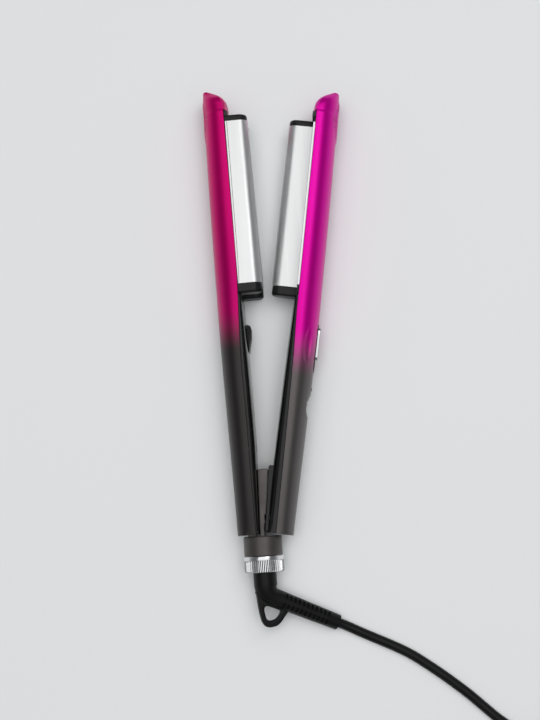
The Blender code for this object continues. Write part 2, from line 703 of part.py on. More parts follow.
def liner_body(arm):
    """Inner cover of a handle: a shallow trough that closes the shell."""
    start, end = -arm.tail, arm.liner_front()
    outside, inside = [], []
    for share in LINER_STATION_SHARES:
        s = start + (end - start) * share
        rise = arm.face(s) - arm.rim(s) - GAP
        outside.append(section(
            arm, s, arm.rim(s) + GAP, 0.0, rise, arm.half_width(s), LINER_ROUNDNESS, 1, LINER_SEGMENTS,
        ))
    start, end = LINER_HOLLOW_START, end - LINER_WALL
    for share in LINER_STATION_SHARES:
        s = start + (end - start) * share
        low, half = arm.rim(s) + GAP - OVERRUN, arm.half_width(s) - LINER_WALL
        rise = arm.face(s) - arm.rim(s) - GAP - LINER_WALL
        ring = section(arm, s, arm.rim(s) + GAP, 0.0, rise, half, LINER_ROUNDNESS, 1, LINER_SEGMENTS)
        inside.append([arm.point(s, low, half), arm.point(s, low, -half)] + ring[2:])
    return cut(loft(arm.part("liner"), outside), loft("hollow", inside))


def jaw_sheet(arm):
    """A jaw bent from one sheet: flat base and round-topped barrels, open at the back."""

    def ring(s):
        floor, crest = arm.floor(s), arm.crest(s)

        def bend(inset):
            edge = JAW_HALF_WIDTH - inset
            half = BARREL_HALF_WIDTH - inset
            spring = crest - BARREL_HALF_WIDTH
            line = []
            for centre in arm.barrels:
                if centre - BARREL_HALF_WIDTH > -JAW_HALF_WIDTH + GAP:
                    line.append((centre - half, floor - inset))
                arc = [math.pi * i / CREST_SEGMENTS for i in range(CREST_SEGMENTS + 1)]
                line += [(centre - half * math.cos(a), spring + half * math.sin(a)) for a in arc]
                if centre + BARREL_HALF_WIDTH < JAW_HALF_WIDTH - GAP:
                    line.append((centre + half, floor - inset))
            if abs(arm.barrels[0]) < GAP:
                line = [(-JAW_HALF_WIDTH, floor - inset)] + line + [(JAW_HALF_WIDTH, floor - inset)]
            else:
                line = [(-edge, floor - JAW_WALL)] + line + [(edge, floor - JAW_WALL)]
            return line

        return [arm.point(s, depth, across) for across, depth in bend(0.0) + bend(JAW_WALL)[::-1]]

    return loft(arm.part("jaw"), [ring(arm.jaw_start), ring(arm.jaw_end())])


def jaw_cap(arm, suffix, inner_end, length):
    """Moulded cap over the barrels' open ends, its outer corners rounded off."""

    def ring(s, inset):
        floor = arm.floor(inner_end) - min(inset, JAW_WALL / 2)
        crest = arm.crest(inner_end) - CAP_INSET - inset
        half = BARREL_HALF_WIDTH - CAP_INSET - inset
        edge = JAW_HALF_WIDTH - inset
        foot = arm.rim(inner_end) + GAP
        line = [(-edge, foot)]
        if abs(arm.barrels[0]) < GAP:
            line.append((-edge, floor))
        for centre in arm.barrels:
            spring = crest - half
            if centre > -GAP:
                line.append((centre - half, floor))
            arc = [math.pi * i / CREST_SEGMENTS for i in range(CREST_SEGMENTS + 1)]
            line += [(centre - half * math.cos(a), spring + half * math.sin(a)) for a in arc]
            if centre < GAP:
                line.append((centre + half, floor))
        if abs(arm.barrels[0]) < GAP:
            line.append((edge, floor))
        line.append((edge, foot))
        return [arm.point(s, depth, across) for across, depth in line]

    direction = math.copysign(1.0, length)
    rings = [ring(inner_end, 0.0)]
    for share in CAP_ROUND_SHARES:
        turn = share * math.pi / 2
        s = inner_end + length - direction * CAP_ROUND * (1 - math.sin(turn))
        rings.append(ring(s, CAP_ROUND * (1 - math.cos(turn))))
    return loft(arm.part(suffix), rings)


def carrier_tray(arm):
    """Heat-proof tray that holds the jaw inside the shell."""

    def ring(s):
        top = arm.floor(s) - JAW_WALL - 2 * GAP
        low = top - CARRIER_DEPTH
        w, c, t = CARRIER_HALF_WIDTH, CARRIER_CHAMFER, CARRIER_WALL
        outer = [(-w, top), (-w, low + c), (c - w, low), (w - c, low), (w, low + c), (w, top)]
        inner = [(w - t, top), (w - t, low + c + t / 2), (w - c - t / 2, low + t)]
        inner += [(-x, d) for x, d in reversed(inner)]
        return [arm.point(s, depth, across) for across, depth in outer + inner]

    return loft(arm.part("carrier"), [ring(arm.jaw_start), ring(arm.jaw_end())])


def heater_block(arm, name, centre):
    """Flat ceramic heater gripped between a barrel's walls."""
    middle = arm.jaw_start + JAW_LENGTH / 2
    half = BARREL_HALF_WIDTH - JAW_WALL - GAP
    slope = arm.crest_rise / JAW_LENGTH

    def ring(s):
        top = arm.crest(middle) - BARREL_HALF_WIDTH + slope * (s - middle)
        low = top - HEATER_DEPTH
        line = [(-half, low), (-half, top), (half, top), (half, low)]
        return [arm.point(s, depth, centre + across) for across, depth in line]

    return loft(name, [ring(middle - HEATER_LENGTH / 2), ring(middle + HEATER_LENGTH / 2)])


def heater_clip(arm, name, centre):
    """Spring channel pressed against a heater's back."""
    middle = arm.jaw_start + JAW_LENGTH / 2
    top = arm.crest(middle) - BARREL_HALF_WIDTH - HEATER_DEPTH - GAP
    if arm.crest_rise:
        top -= arm.crest_rise * CLIP_LENGTH / JAW_LENGTH / 2
    w, t = BARREL_HALF_WIDTH - JAW_WALL - GAP, CLIP_SHEET
    low = top - CLIP_LEG
    outer = [(-w, top), (w, top), (w, low), (w - t, low)]
    inner = [(w - t, top - t), (t - w, top - t), (t - w, low), (-w, low)]
    near, far = middle - CLIP_LENGTH / 2, middle + CLIP_LENGTH / 2
    return extrude(name, outer + inner, lambda p, s: arm.point(s, p[1], centre + p[0]), near, far)


def rod_along(arm, name, along, length, depth, across, radius):
    """A round rod lying along the arm."""
    outline = circle(radius, SMALL_ROUND_SIDES, math.pi / SMALL_ROUND_SIDES)
    end = along + length
    return extrude(name, outline, lambda p, s: arm.point(s, depth + p[0], across + p[1]), along, end)


def tray_level(arm, s):
    """Depth of the tray's inner floor."""
    return arm.floor(s) - JAW_WALL - 2 * GAP - CARRIER_DEPTH + CARRIER_WALL


def lead(arm, suffix, start, end, across):
    """Twin wire run through the handle to under the tray."""
    depth = min(tray_level(arm, s) for s in (arm.jaw_start, end)) - CARRIER_WALL - GAP - LEAD_RADIUS
    middle = (start[0] + end) / 2
    route = [
        (start[0], start[1], start[2]),
        ((start[0] + middle) / 2, (start[1] + depth) / 2, across),
        (middle, depth, across),
        (end, depth, across),
    ]
    points = through([arm.point(*p) for p in route], LEAD_STEP)
    return tube(arm.part(suffix), points, LEAD_RADIUS, 1)


def finger_ridge(arm):
    """Rubber wedge on the left liner, steep toward the tip."""
    line = []
    for share, rise in RIDGE_SHARES:
        s = RIDGE_START + RIDGE_LENGTH * share
        line.append((s, arm.face(s) + GAP + RIDGE_HEIGHT * rise))
    for share, _ in reversed(RIDGE_SHARES):
        s = RIDGE_START + RIDGE_LENGTH * share
        line.append((s, arm.face(s) + GAP))
    half = RIDGE_HALF_WIDTH
    return extrude(arm.part("finger_ridge"), line, lambda p, z: arm.point(p[0], p[1], z), -half, half)


def screw_seat(arm, liner, shell, along):
    """A sunk boss in the liner over a post in the shell, with the screw's hole through both."""
    face = arm.face(along)
    head_low = face - SCREW_SINK - SCREW_HEAD
    seat_low = head_low - LINER_WALL
    bore = SCREW_RADIUS + GAP
    boss_radius = SCREW_HEAD_RADIUS + LINER_WALL
    join(liner, post(arm, "boss", along, 0.0, seat_low, face - LINER_WALL / 2, boss_radius))
    cut(
        liner,
        post(arm, "sink", along, 0.0, head_low - GAP, face + OVERRUN, SCREW_HEAD_RADIUS + GAP),
        post(arm, "bore", along, 0.0, seat_low - OVERRUN, face, bore),
    )
    floor = arm.outer(along) + SHELL_WALL / 2
    join(shell, post(arm, "boss", along, 0.0, floor, seat_low - GAP, SCREW_BOSS_RADIUS))
    cut(shell, post(arm, "bore", along, 0.0, head_low - SCREW_LENGTH - GAP, 0.0, bore))


def screw(arm, suffix, along):
    top = arm.face(along) - SCREW_SINK
    low = top - SCREW_HEAD
    head = post(arm, arm.part(suffix), along, 0.0, low, top, SCREW_HEAD_RADIUS)
    shank = post(arm, "shank", along, 0.0, low - SCREW_LENGTH, top - SCREW_HEAD / 2, SCREW_RADIUS)
    return join(head, shank)


def hinge_housing(left, pin):
    """Collar, spigot, tongue and block in one moulding, with two eyes for the hinge pin."""
    body = turned(
        "hinge_housing",
        [
            (COLLAR_RADIUS - COLLAR_EDGE, 0.0), (COLLAR_RADIUS, -COLLAR_EDGE),
            (COLLAR_RADIUS, -COLLAR_LENGTH), (COLLAR_BORE_RADIUS, -COLLAR_LENGTH),
            (COLLAR_BORE_RADIUS, COLLAR_BORE_DEPTH - COLLAR_LENGTH),
        ],
    )
    datum = Matrix.Translation(Vector((ARM_DATUM_X, ARM_DATUM_Y, 0.0)))
    to_left = datum @ Matrix.Rotation(LEFT_SPLAY, 4, "Z")

    def placed(p, z):
        return tuple(to_left @ Vector(left.point(p[0], p[1], z)))

    def at_pin(p, z):
        return pin.x + p[0], pin.y + p[1], z

    line = [(BLOCK_TOP * s, BLOCK_HEIGHT * h) for s, h in BLOCK_SHARES]
    back = [(s, min(left.face(s) + GAP, h - OVERRUN)) for s, h in reversed(line)]
    half = HOUSING_HALF_WIDTH
    block = extrude("block", line + back, placed, -half, half)
    foot = -ARM_DATUM_Y - OVERRUN
    spigot_line = [
        (foot, -SPIGOT_FAR), (foot + SPIGOT_LENGTH, -SPIGOT_FAR),
        (foot + SPIGOT_LENGTH, -SPIGOT_NEAR), (foot, -SPIGOT_NEAR),
    ]
    spigot = extrude("spigot", spigot_line, placed, -SPIGOT_HALF_WIDTH, SPIGOT_HALF_WIDTH)
    eye = extrude("eye", circle(EYE_RADIUS, SMALL_ROUND_SIDES), at_pin, -half, half)
    web_line = [
        (pin.x - EYE_RADIUS, pin.y - EYE_RADIUS / 2), (pin.x, pin.y - EYE_RADIUS / 2),
        (pin.x, pin.y + EYE_RADIUS / 2), (pin.x - EYE_RADIUS, pin.y + EYE_RADIUS / 2),
    ]
    web = extrude("web", web_line, lambda p, z: (p[0], p[1], z), -half, half)
    join(body, block, spigot, eye, web)
    pocket = SPRING_POCKET_HALF_WIDTH
    reach = EYE_RADIUS + 2 * GAP
    slot_line = [
        (pin.x - SPRING_RADIUS - SPRING_WIRE_RADIUS - 2 * GAP, pin.y),
        (pin.x + reach, pin.y),
        (pin.x + reach, pin.y + SPRING_LEG + 4 * GAP),
        (pin.x - SPRING_RADIUS - SPRING_WIRE_RADIUS - 2 * GAP, pin.y + SPRING_LEG + 4 * GAP),
    ]
    cut(
        body,
        extrude("pocket", circle(reach, SMALL_ROUND_SIDES), at_pin, -pocket, pocket),
        extrude("groove", slot_line, lambda p, z: (p[0], p[1], z), -pocket, pocket),
        extrude("bore", circle(PIN_RADIUS + GAP, SMALL_ROUND_SIDES), at_pin, -half - OVERRUN, half + OVERRUN),
    )
    return body


def pin_rod(name, half_length, radius):
    outline = circle(radius, SMALL_ROUND_SIDES)
    return extrude(name, outline, lambda p, z: (p[0], p[1], z), -half_length, half_length)


def opening_spring():
    """Coil round the pin, with a leg along the housing and a leg under the right arm."""
    height = 2 * (SPRING_POCKET_HALF_WIDTH - 2 * GAP - SPRING_WIRE_RADIUS)
    steps = SPRING_TURNS * SPRING_POINTS_PER_TURN + SPRING_POINTS_PER_TURN // 2
    points = [(-SPRING_RADIUS, SPRING_LEG, -height / 2)]
    for i in range(steps + 1):
        a = math.pi + 2 * math.pi * i / SPRING_POINTS_PER_TURN
        z = height * (i / steps - 0.5)
        points.append((SPRING_RADIUS * math.cos(a), SPRING_RADIUS * math.sin(a), z))
    points.append((SPRING_RADIUS, SPRING_LEG, height / 2))
    return tube("opening_spring", points, SPRING_WIRE_RADIUS, 1)


def fork(arm, liner):
    """Two cheeks on the right liner that straddle the housing, with a bar that the spring pushes on."""
    near = FORK_HALF_GAP
    line = [(CHEEK_TOP * s, CHEEK_REACH * h) for s, h in CHEEK_SHARES]
    line += [(CHEEK_TOP, -CHEEK_DEPTH), (line[0][0], -CHEEK_DEPTH)]
    for sign in (-1, 1):
        low, high = sorted((sign * (near - OVERRUN), sign * (near + CHEEK_THICKNESS)))
        join(liner, extrude("cheek", line, lambda p, z: arm.point(p[0], p[1], z), low, high))
    slot_run = (-arm.tail - OVERRUN, CHEEK_TOP)
    cut(liner, box(arm, "slot", slot_run, (-SHELL_DEPTH, FACE_DEPTH + CHEEK_REACH), (-near, near)))
    top = -PIN_INSET - SPRING_RADIUS - SPRING_WIRE_RADIUS - GAP
    low, outside = top - SEAT_THICKNESS, near + CHEEK_THICKNESS
    seat_run = (SEAT_ALONG, SEAT_ALONG + SEAT_LENGTH)
    hanger_run = (SEAT_ALONG - OVERRUN, SEAT_ALONG + SEAT_LENGTH + OVERRUN)
    for sign in (-1, 1):
        across = sorted((sign * near, sign * outside))
        join(liner, box(arm, "hanger", hanger_run, (low - GAP, OVERRUN - CHEEK_DEPTH), across))
    join(liner, box(arm, "seat", seat_run, (low, top), (GAP - outside, outside - GAP)))
    return cut(liner, pin_rod("bore", PIN_HALF_LENGTH + OVERRUN, PIN_RADIUS + GAP))


def lock_ring():
    """Chromed ring with a smooth band above a knurled one, bored for the boot's neck."""
    top = -COLLAR_LENGTH - GAP
    groove = RING_RADIUS - RING_GROOVE

    def ring(along, radius, knurled):
        points = []
        for i in range(2 * KNURL_COUNT):
            a = math.pi * i / KNURL_COUNT
            r = radius - KNURL_DEPTH * (i % 2) * knurled
            points.append((r * math.cos(a), along, r * math.sin(a)))
        return points

    band = top - RING_SMOOTH_LENGTH
    low = top - RING_LENGTH
    rings = [
        ring(top, RING_BORE_RADIUS, 0), ring(top, RING_RADIUS - RING_GROOVE, 0),
        ring(top - RING_GROOVE, RING_RADIUS, 0), ring(band, RING_RADIUS, 0),
        ring(band - RING_GROOVE, groove - KNURL_DEPTH, 0), ring(band - 2 * RING_GROOVE, RING_RADIUS, 1),
        ring(low + RING_GROOVE, RING_RADIUS, 1), ring(low, groove - KNURL_DEPTH, 0),
        ring(low, RING_BORE_RADIUS, 0),
    ]
    return loft("lock_ring", rings, loops=True)


def swivel_core():
    """Flanged sleeve that turns inside the collar and carries the boot."""
    low = -COLLAR_LENGTH + GAP
    profile = [
        (CORE_BORE_RADIUS, low), (CORE_RADIUS, low), (CORE_RADIUS, low + CORE_FLANGE),
        (CORE_BARREL_RADIUS, low + CORE_FLANGE), (CORE_BARREL_RADIUS, low + CORE_LENGTH),
        (CORE_BORE_RADIUS, low + CORE_LENGTH),
    ]
    return turned("swivel_core", profile, ROUND_SIDES // 2, loops=True)


def boot_point(u, v, w):
    """A place in the boot's plane: u out from the collar's axis, v along it, w square to the plane."""
    c, s = math.cos(BOOT_ROLL), math.sin(BOOT_ROLL)
    return (u * c + w * s, v, w * c - u * s)


def boot_line():
    """Middle of the boot from the neck to its end: rows of (u, v, direction, radius)."""
    drop_angle = math.atan2(BOOT_ARM_DROP, BOOT_ARM_REACH)
    bend = math.pi / 2 - drop_angle
    tangent = BOOT_ELBOW_RADIUS * math.tan(bend / 2)
    start_v = tangent - BOOT_ELBOW_DROP
    down = -math.pi / 2
    rows = [(0.0, -COLLAR_LENGTH, down, BOOT_NECK_RADIUS), (0.0, start_v, down, BOOT_NECK_RADIUS)]
    for i in range(1, BOOT_ELBOW_STEPS + 1):
        share = i / BOOT_ELBOW_STEPS
        a = bend * share
        u = BOOT_ELBOW_RADIUS * (1 - math.cos(a))
        v = start_v - BOOT_ELBOW_RADIUS * math.sin(a)
        radius = BOOT_NECK_RADIUS + (BOOT_ARM_ROOT_RADIUS - BOOT_NECK_RADIUS) * share
        rows.append((u, v, -math.pi / 2 + a, radius))
    rows.append((BOOT_ARM_REACH, -BOOT_ELBOW_DROP - BOOT_ARM_DROP, -drop_angle, BOOT_END_RADIUS))
    return rows


def swivel_boot():
    """Rubber elbow with a hanging loop, its arm slotted in four rows so that it bends with the cord."""
    rings = []
    for u, v, heading, radius in boot_line():
        side_u, side_v = -math.sin(heading), math.cos(heading)
        ring = [boot_point(u + side_u * a, v + side_v * a, b) for a, b in circle(radius, BOOT_SIDES)]
        rings.append(ring)
    body = loft("swivel_boot", rings)

    def plate(name, shares, half):
        line = [(LOOP_WIDTH * a, LOOP_DROP * b - BOOT_ELBOW_DROP) for a, b in shares]
        return extrude(name, line, lambda p, w: boot_point(p[0], p[1], w), -half, half)

    join(body, plate("loop", LOOP_OUTER_SHARES, LOOP_HALF_THICKNESS))
    cut(body, plate("hole", LOOP_HOLE_SHARES, LOOP_HALF_THICKNESS + OVERRUN))
    _, _, heading, end_radius = boot_line()[-1]
    start_u, start_v, _, start_radius = boot_line()[-2]
    along_u, along_v = math.cos(heading), math.sin(heading)
    length = math.hypot(BOOT_ARM_REACH - start_u, -BOOT_ELBOW_DROP - BOOT_ARM_DROP - start_v)
    root = math.hypot(start_u, start_v + BOOT_ELBOW_DROP)
    points, faces = [], []
    for row in range(4):
        turn = SLOT_SPREAD * (1 if row % 2 else -1) + math.pi * (row // 2) + math.pi / 2
        across, up = math.cos(turn), math.sin(turn)
        for i in range(SLOT_COUNT):
            k = len(points)
            at = SLOT_FIRST + SLOT_PITCH * i - root
            radius = start_radius + (end_radius - start_radius) * at / length
            for step in (-SLOT_LENGTH / 2, SLOT_LENGTH / 2):
                for side, out in ((-1, -SLOT_DEPTH), (1, -SLOT_DEPTH), (1, OVERRUN), (-1, OVERRUN)):
                    a = (radius + out) * across - side * SLOT_HALF_SPAN * up
                    b = (radius + out) * up + side * SLOT_HALF_SPAN * across
                    u = start_u + along_u * (at + step) - along_v * a
                    v = start_v + along_v * (at + step) + along_u * a
                    points.append(boot_point(u, v, b))
            quads = ((0, 1, 2, 3), (4, 5, 6, 7), (0, 1, 5, 4), (1, 2, 6, 5), (2, 3, 7, 6), (3, 0, 4, 7))
            faces += [tuple(k + j for j in quad) for quad in quads]
    return cut(body, solid("slots", points, faces))


def boot_end():
    """Middle of the boot's end face, and the direction the cord leaves in."""
    u, v, heading, _ = boot_line()[-1]
    along = Vector(boot_point(math.cos(heading), math.sin(heading), 0.0))
    return Vector(boot_point(u, v, 0.0)), along


def tip_block(arm):
    """Heat-proof block between the jaw's tip cap and the nose."""
    start = arm.jaw_end() + TIP_CAP_LENGTH + 2 * GAP
    end = NOSE_ROOT - GAP
    low = arm.rim(end) + GAP
    half = TIP_BLOCK_HALF_WIDTH
    return box(arm, arm.part("tip_block"), (start, end), (low, low + TIP_BLOCK_RISE), (-half, half))


def spigot_opening(arm, shell):
    """Opening in the left shell's end wall for the housing's spigot."""
    reach = SPIGOT_HALF_WIDTH + GAP
    run = (-arm.tail - OVERRUN, OVERRUN - arm.tail + SHELL_WALL)
    return cut(shell, box(arm, "opening", run, (-SPIGOT_FAR - GAP, OVERRUN - SPIGOT_NEAR), (-reach, reach)))


def pocket_middle():
    """Middle of the bezel's pocket, which is longer than the slider by its travel."""
    return SLIDER_FRONT - (SLIDER_LENGTH + SLIDER_TRAVEL) / 2


def oval_block(arm, name, middle, half_length, half_width, low, high):
    outline = oval(half_length, half_width)
    return extrude(name, outline, lambda p, d: arm.point(middle + p[0], d, p[1]), low, high)


def slider_levels(arm):
    """Top and bottom of the slider, and the bezel's inner end."""
    top = arm.outer(SLIDER_FRONT - SLIDER_LENGTH / 2) - SLIDER_PROUD
    bottom = top + SLIDER_THICKNESS
    return top, bottom, bottom + GAP + BEZEL_FLOOR


def slider_bezel(arm):
    """Slotted tray in the shell's wall that the slider runs in."""
    top, bottom, low = slider_levels(arm)
    rim = top + SLIDER_PROUD - BEZEL_PROUD
    half_length = (SLIDER_LENGTH + SLIDER_TRAVEL) / 2 + GAP
    half_width = SLIDER_HALF_WIDTH + GAP
    body = oval_block(
        arm, "slider_bezel", pocket_middle(), half_length + BEZEL_MARGIN, half_width + BEZEL_MARGIN, rim, low,
    )
    middle = SLIDER_FRONT - SLIDER_LENGTH / 2
    run = (middle - SLIDER_TRAVEL - STEM_HALF_LENGTH - GAP, middle + STEM_HALF_LENGTH + GAP)
    reach = STEM_HALF_WIDTH + GAP
    return cut(
        body,
        oval_block(arm, "pocket", pocket_middle(), half_length, half_width, rim - OVERRUN, bottom + GAP),
        box(arm, "slot", run, (bottom - OVERRUN, low + OVERRUN), (-reach, reach)),
    )


def mode_slider(arm):
    """Sliding button: ridged for the thumb, smooth at its front, with a stem through the bezel's floor."""
    top, bottom, low = slider_levels(arm)
    middle = SLIDER_FRONT - SLIDER_LENGTH / 2
    rings = []
    for depth, inset in ((bottom, 0.0), (top + SLIDER_EDGE, 0.0), (top, SLIDER_EDGE)):
        outline = oval(SLIDER_LENGTH / 2 - inset, SLIDER_HALF_WIDTH - inset)
        rings.append([arm.point(middle + s, depth, z) for s, z in outline])
    body = loft("mode_slider", rings)
    points, faces = [], []
    last = SLIDER_FRONT - SLIDER_SMOOTH_END
    reach = SLIDER_HALF_WIDTH + OVERRUN
    half = RIDGE_PITCH / 2 - SLIDER_RIDGE_DEPTH / 2
    for i in range(RIDGE_COUNT):
        k = len(points)
        s = last - RIDGE_PITCH * i
        for z in (-reach, reach):
            points += [
                arm.point(s - half, top - OVERRUN / 2, z), arm.point(s + half, top - OVERRUN / 2, z),
                arm.point(s, top + SLIDER_RIDGE_DEPTH, z),
            ]
        faces += [(k, k + 1, k + 2), (k + 3, k + 4, k + 5)]
        faces += [(k, k + 1, k + 4, k + 3), (k + 1, k + 2, k + 5, k + 4), (k + 2, k, k + 3, k + 5)]
    cut(body, solid("grooves", points, faces))
    stem = box(
        arm, "stem", (middle - STEM_HALF_LENGTH, middle + STEM_HALF_LENGTH), (bottom - OVERRUN, low),
        (-STEM_HALF_WIDTH, STEM_HALF_WIDTH),
    )
    return join(body, stem)


def thumb_scoop(arm, side):
    """Ellipsoid that hollows the shell beside the slider."""
    tilt_out, tilt_up = math.sin(SCOOP_TILT), math.cos(SCOOP_TILT)
    lift = SCOOP_DEPTH
    thick = 2 * SCOOP_DEPTH
    spread = 1 / math.sqrt(1 - (lift / thick) ** 2)
    rings = []
    for i in range(1, SCOOP_SEGMENTS):
        a = math.pi * i / SCOOP_SEGMENTS
        s = SCOOP_CENTRE - SCOOP_HALF_LENGTH * spread * math.cos(a)
        ring = []
        for h, n in circle(1.0, SMALL_ROUND_SIDES):
            tangent = SCOOP_HALF_HEIGHT * spread * math.sin(a) * h
            normal = lift + thick * math.sin(a) * n
            depth = -SCOOP_LEVEL - normal * tilt_out + tangent * tilt_up
            across = SCOOP_ACROSS + normal * tilt_up + tangent * tilt_out
            ring.append(arm.point(s, depth, side * across))
        rings.append(ring)
    return loft("scoop", rings)


def dish_levels(arm):
    """Depths at the power button: the dish's bottom, the boss's inner end, the flange and the tact switch."""
    wall = arm.outer(BUTTON_CENTRE)
    boss = wall + DISH_BOSS_DEPTH
    flange = boss + GAP + BUTTON_FLANGE_HEIGHT
    return wall, wall + DISH_DEPTH, boss, flange, flange + BUTTON_TRAVEL + GAP


def button_dish(arm, shell):
    """Boss inside the shell with a round dish outside, bored for the power button."""
    wall, bottom, boss, _, _ = dish_levels(arm)
    sides = ROUND_SIDES // 2
    join(shell, post(arm, "boss", BUTTON_CENTRE, 0.0, wall + SHELL_WALL / 2, boss, DISH_BOSS_RADIUS, sides))
    radius = (DISH_HALF_WIDTH**2 + DISH_DEPTH**2) / (2 * DISH_DEPTH)
    rings = []
    for share in DISH_SHARES:
        r = DISH_HALF_WIDTH * share
        depth = bottom - (radius - math.sqrt(radius**2 - r**2))
        rings.append([arm.point(BUTTON_CENTRE + s, depth, z) for s, z in circle(r, sides)])
    return cut(
        shell,
        loft("dish", rings),
        post(arm, "bore", BUTTON_CENTRE, 0.0, wall - OVERRUN, boss + OVERRUN, BUTTON_RADIUS + GAP, sides),
    )


def power_button(arm):
    _, bottom, boss, flange, _ = dish_levels(arm)
    top = bottom - BUTTON_PROUD
    sides = ROUND_SIDES // 2
    rings = []
    for depth, radius in (
        (top, BUTTON_RADIUS - SLIDER_EDGE), (top + SLIDER_EDGE / 2, BUTTON_RADIUS),
        (boss + GAP, BUTTON_RADIUS), (boss + GAP, BUTTON_RADIUS + BUTTON_FLANGE),
        (flange, BUTTON_RADIUS + BUTTON_FLANGE),
    ):
        rings.append([arm.point(BUTTON_CENTRE + s, depth, z) for s, z in circle(radius, sides)])
    return loft("power_button", rings)


def board_levels():
    """Depths of the board's inner and outer faces."""
    return -BOARD_LEVEL, -BOARD_LEVEL - BOARD_THICKNESS


def control_board(arm):
    inner, outer = board_levels()
    run = (BOARD_START, BOARD_START + BOARD_LENGTH)
    return box(arm, "control_board", run, (outer, inner), (-BOARD_HALF_WIDTH, BOARD_HALF_WIDTH))


def board_posts(arm, shell):
    """Four posts in the shell under the board's corners."""
    _, outer = board_levels()
    for along in (BOARD_START + BOARD_POST_INSET, BOARD_START + BOARD_LENGTH - BOARD_POST_INSET):
        for sign in (-1, 1):
            across = sign * (BOARD_HALF_WIDTH - BOARD_POST_INSET)
            floor = arm.outer(along) + SHELL_WALL / 2
            join(shell, post(arm, "post", along, across, floor, outer - GAP, BOARD_POST_RADIUS, POST_SIDES))
    return shell


def mode_switch(arm):
    """Slide switch between the board and the bezel."""
    _, outer = board_levels()
    _, _, low = slider_levels(arm)
    middle = SLIDER_FRONT - SLIDER_LENGTH / 2 - SLIDER_TRAVEL / 2
    run = (middle - SWITCH_LENGTH / 2, middle + SWITCH_LENGTH / 2)
    return box(arm, "mode_switch", run, (low + GAP, outer - GAP), (-SWITCH_HALF_WIDTH, SWITCH_HALF_WIDTH))


def button_switch(arm):
    """Tact switch under the power button."""
    _, outer = board_levels()
    top = dish_levels(arm)[-1]
    half = TACT_HALF_WIDTH
    run = (BUTTON_CENTRE - half, BUTTON_CENTRE + half)
    body = box(arm, "button_switch", run, (top + TACT_PLUNGER, outer - GAP), (-half, half))
    plunger = post(arm, "plunger", BUTTON_CENTRE, 0.0, top, top + TACT_PLUNGER + GAP, TACT_PLUNGER_RADIUS)
    return join(body, plunger)


def coil_points():
    """Two flat layers wound clockwise: inward, up at the middle, then outward again, with straight ends."""
    x, y = COIL_X, COIL_Y
    least = COIL_OUTER_RADIUS - COIL_PITCH * COIL_CLIMB_START
    points = [(x - COIL_END_RUN, y + COIL_OUTER_RADIUS, COIL_LEVEL)]
    for i in range(round(COIL_TURNS * COIL_POINTS_PER_TURN) + 1):
        t = i / COIL_POINTS_PER_TURN
        a = math.pi / 2 - 2 * math.pi * t
        climb = min(1.0, max(0.0, (t - COIL_CLIMB_START) / (COIL_CLIMB_END - COIL_CLIMB_START)))
        if t < COIL_CLIMB_START:
            r = COIL_OUTER_RADIUS - COIL_PITCH * t
        else:
            r = least + COIL_PITCH * max(0.0, t - COIL_CLIMB_END) - COIL_CLIMB_DIP * math.sin(math.pi * climb)
        points.append((x + r * math.cos(a), y + r * math.sin(a), COIL_LEVEL + COIL_LAYER_RISE * climb))
    points.append((points[-1][0] - COIL_END_RUN, points[-1][1], points[-1][2]))
    return points


def least_gap(points, radius):
    """Least gap between a wound tube's turns, measured on points along its middle line."""
    line = np.array(points)
    along = np.concatenate([[0], np.cumsum(np.linalg.norm(np.diff(line, axis=0), axis=1))])
    at = np.arange(0, along[-1], COIL_MEASURE_STEP)
    fine = np.stack([np.interp(at, along, line[:, k]) for k in range(3)], axis=1)
    least = min(
        np.linalg.norm(fine[at > start + COIL_MEASURE_SKIP] - spot, axis=1).min(initial=np.inf)
        for start, spot in zip(at, fine)
    )
    return least - 2 * radius


def lowered(points):
    """Heights over the table turned into heights about the arms' mid-plane."""
    return [(p[0], p[1], p[2] - ARM_HALF_WIDTH) for p in points]


def cord_lines():
    """Middle lines of the cord's three lengths: to the coil, the coil, and to the plug."""
    end, along = boot_end()
    start = end + along * GAP
    coil = coil_points()
    route = [(start.x, start.y, start.z + ARM_HALF_WIDTH)]
    route += [tuple(MM * c for c in p) for p in CORD_ROUTE]
    route.append((coil[0][0] - GAP, coil[0][1], coil[0][2]))
    tail = [(coil[-1][0] - GAP, coil[-1][1], coil[-1][2])]
    tail += [tuple(MM * c for c in p) for p in TAIL_ROUTE]
    return through(route, CORD_TUBE_STEP), coil, through(tail, CORD_TUBE_STEP / 2)


def cord_tie():
    """Band round the coil's strands on its left side."""
    least = COIL_OUTER_RADIUS - COIL_PITCH * COIL_CLIMB_START
    most = least + COIL_PITCH * (COIL_TURNS - COIL_CLIMB_END - TIE_TURN_SHARE)
    near, far = least - CORD_RADIUS - TIE_NEAR_SLACK, most + CORD_RADIUS + TIE_SLACK
    low = COIL_LEVEL - CORD_RADIUS - TIE_SLACK
    high = COIL_LEVEL + COIL_LAYER_RISE + CORD_RADIUS + TIE_SLACK

    def outline(grow):
        line = []
        corner = TIE_CORNER
        for cx, cz, first in (
            (far - corner, high - corner, 0), (near + corner, high - corner, 1),
            (near + corner, low + corner, 2), (far - corner, low + corner, 3),
        ):
            for k in range(4):
                a = math.pi / 2 * (first + k / 3)
                line.append((cx + (corner + grow) * math.cos(a), cz + (corner + grow) * math.sin(a)))
        return line

    rings = []
    reach = TIE_HALF_LENGTH
    for half, grow in ((-reach, 0.0), (-reach, TIE_WALL), (reach, TIE_WALL), (reach, 0.0)):
        rings.append([(COIL_X - r, COIL_Y + half, z - ARM_HALF_WIDTH) for r, z in outline(grow)])
    return loft("cord_tie", rings, loops=True)


def plug_place():
    """Middle of the plug's cord end, above the table."""
    x, y, z = (MM * c for c in TAIL_ROUTE[-1])
    return x - GAP, y, z - ARM_HALF_WIDTH


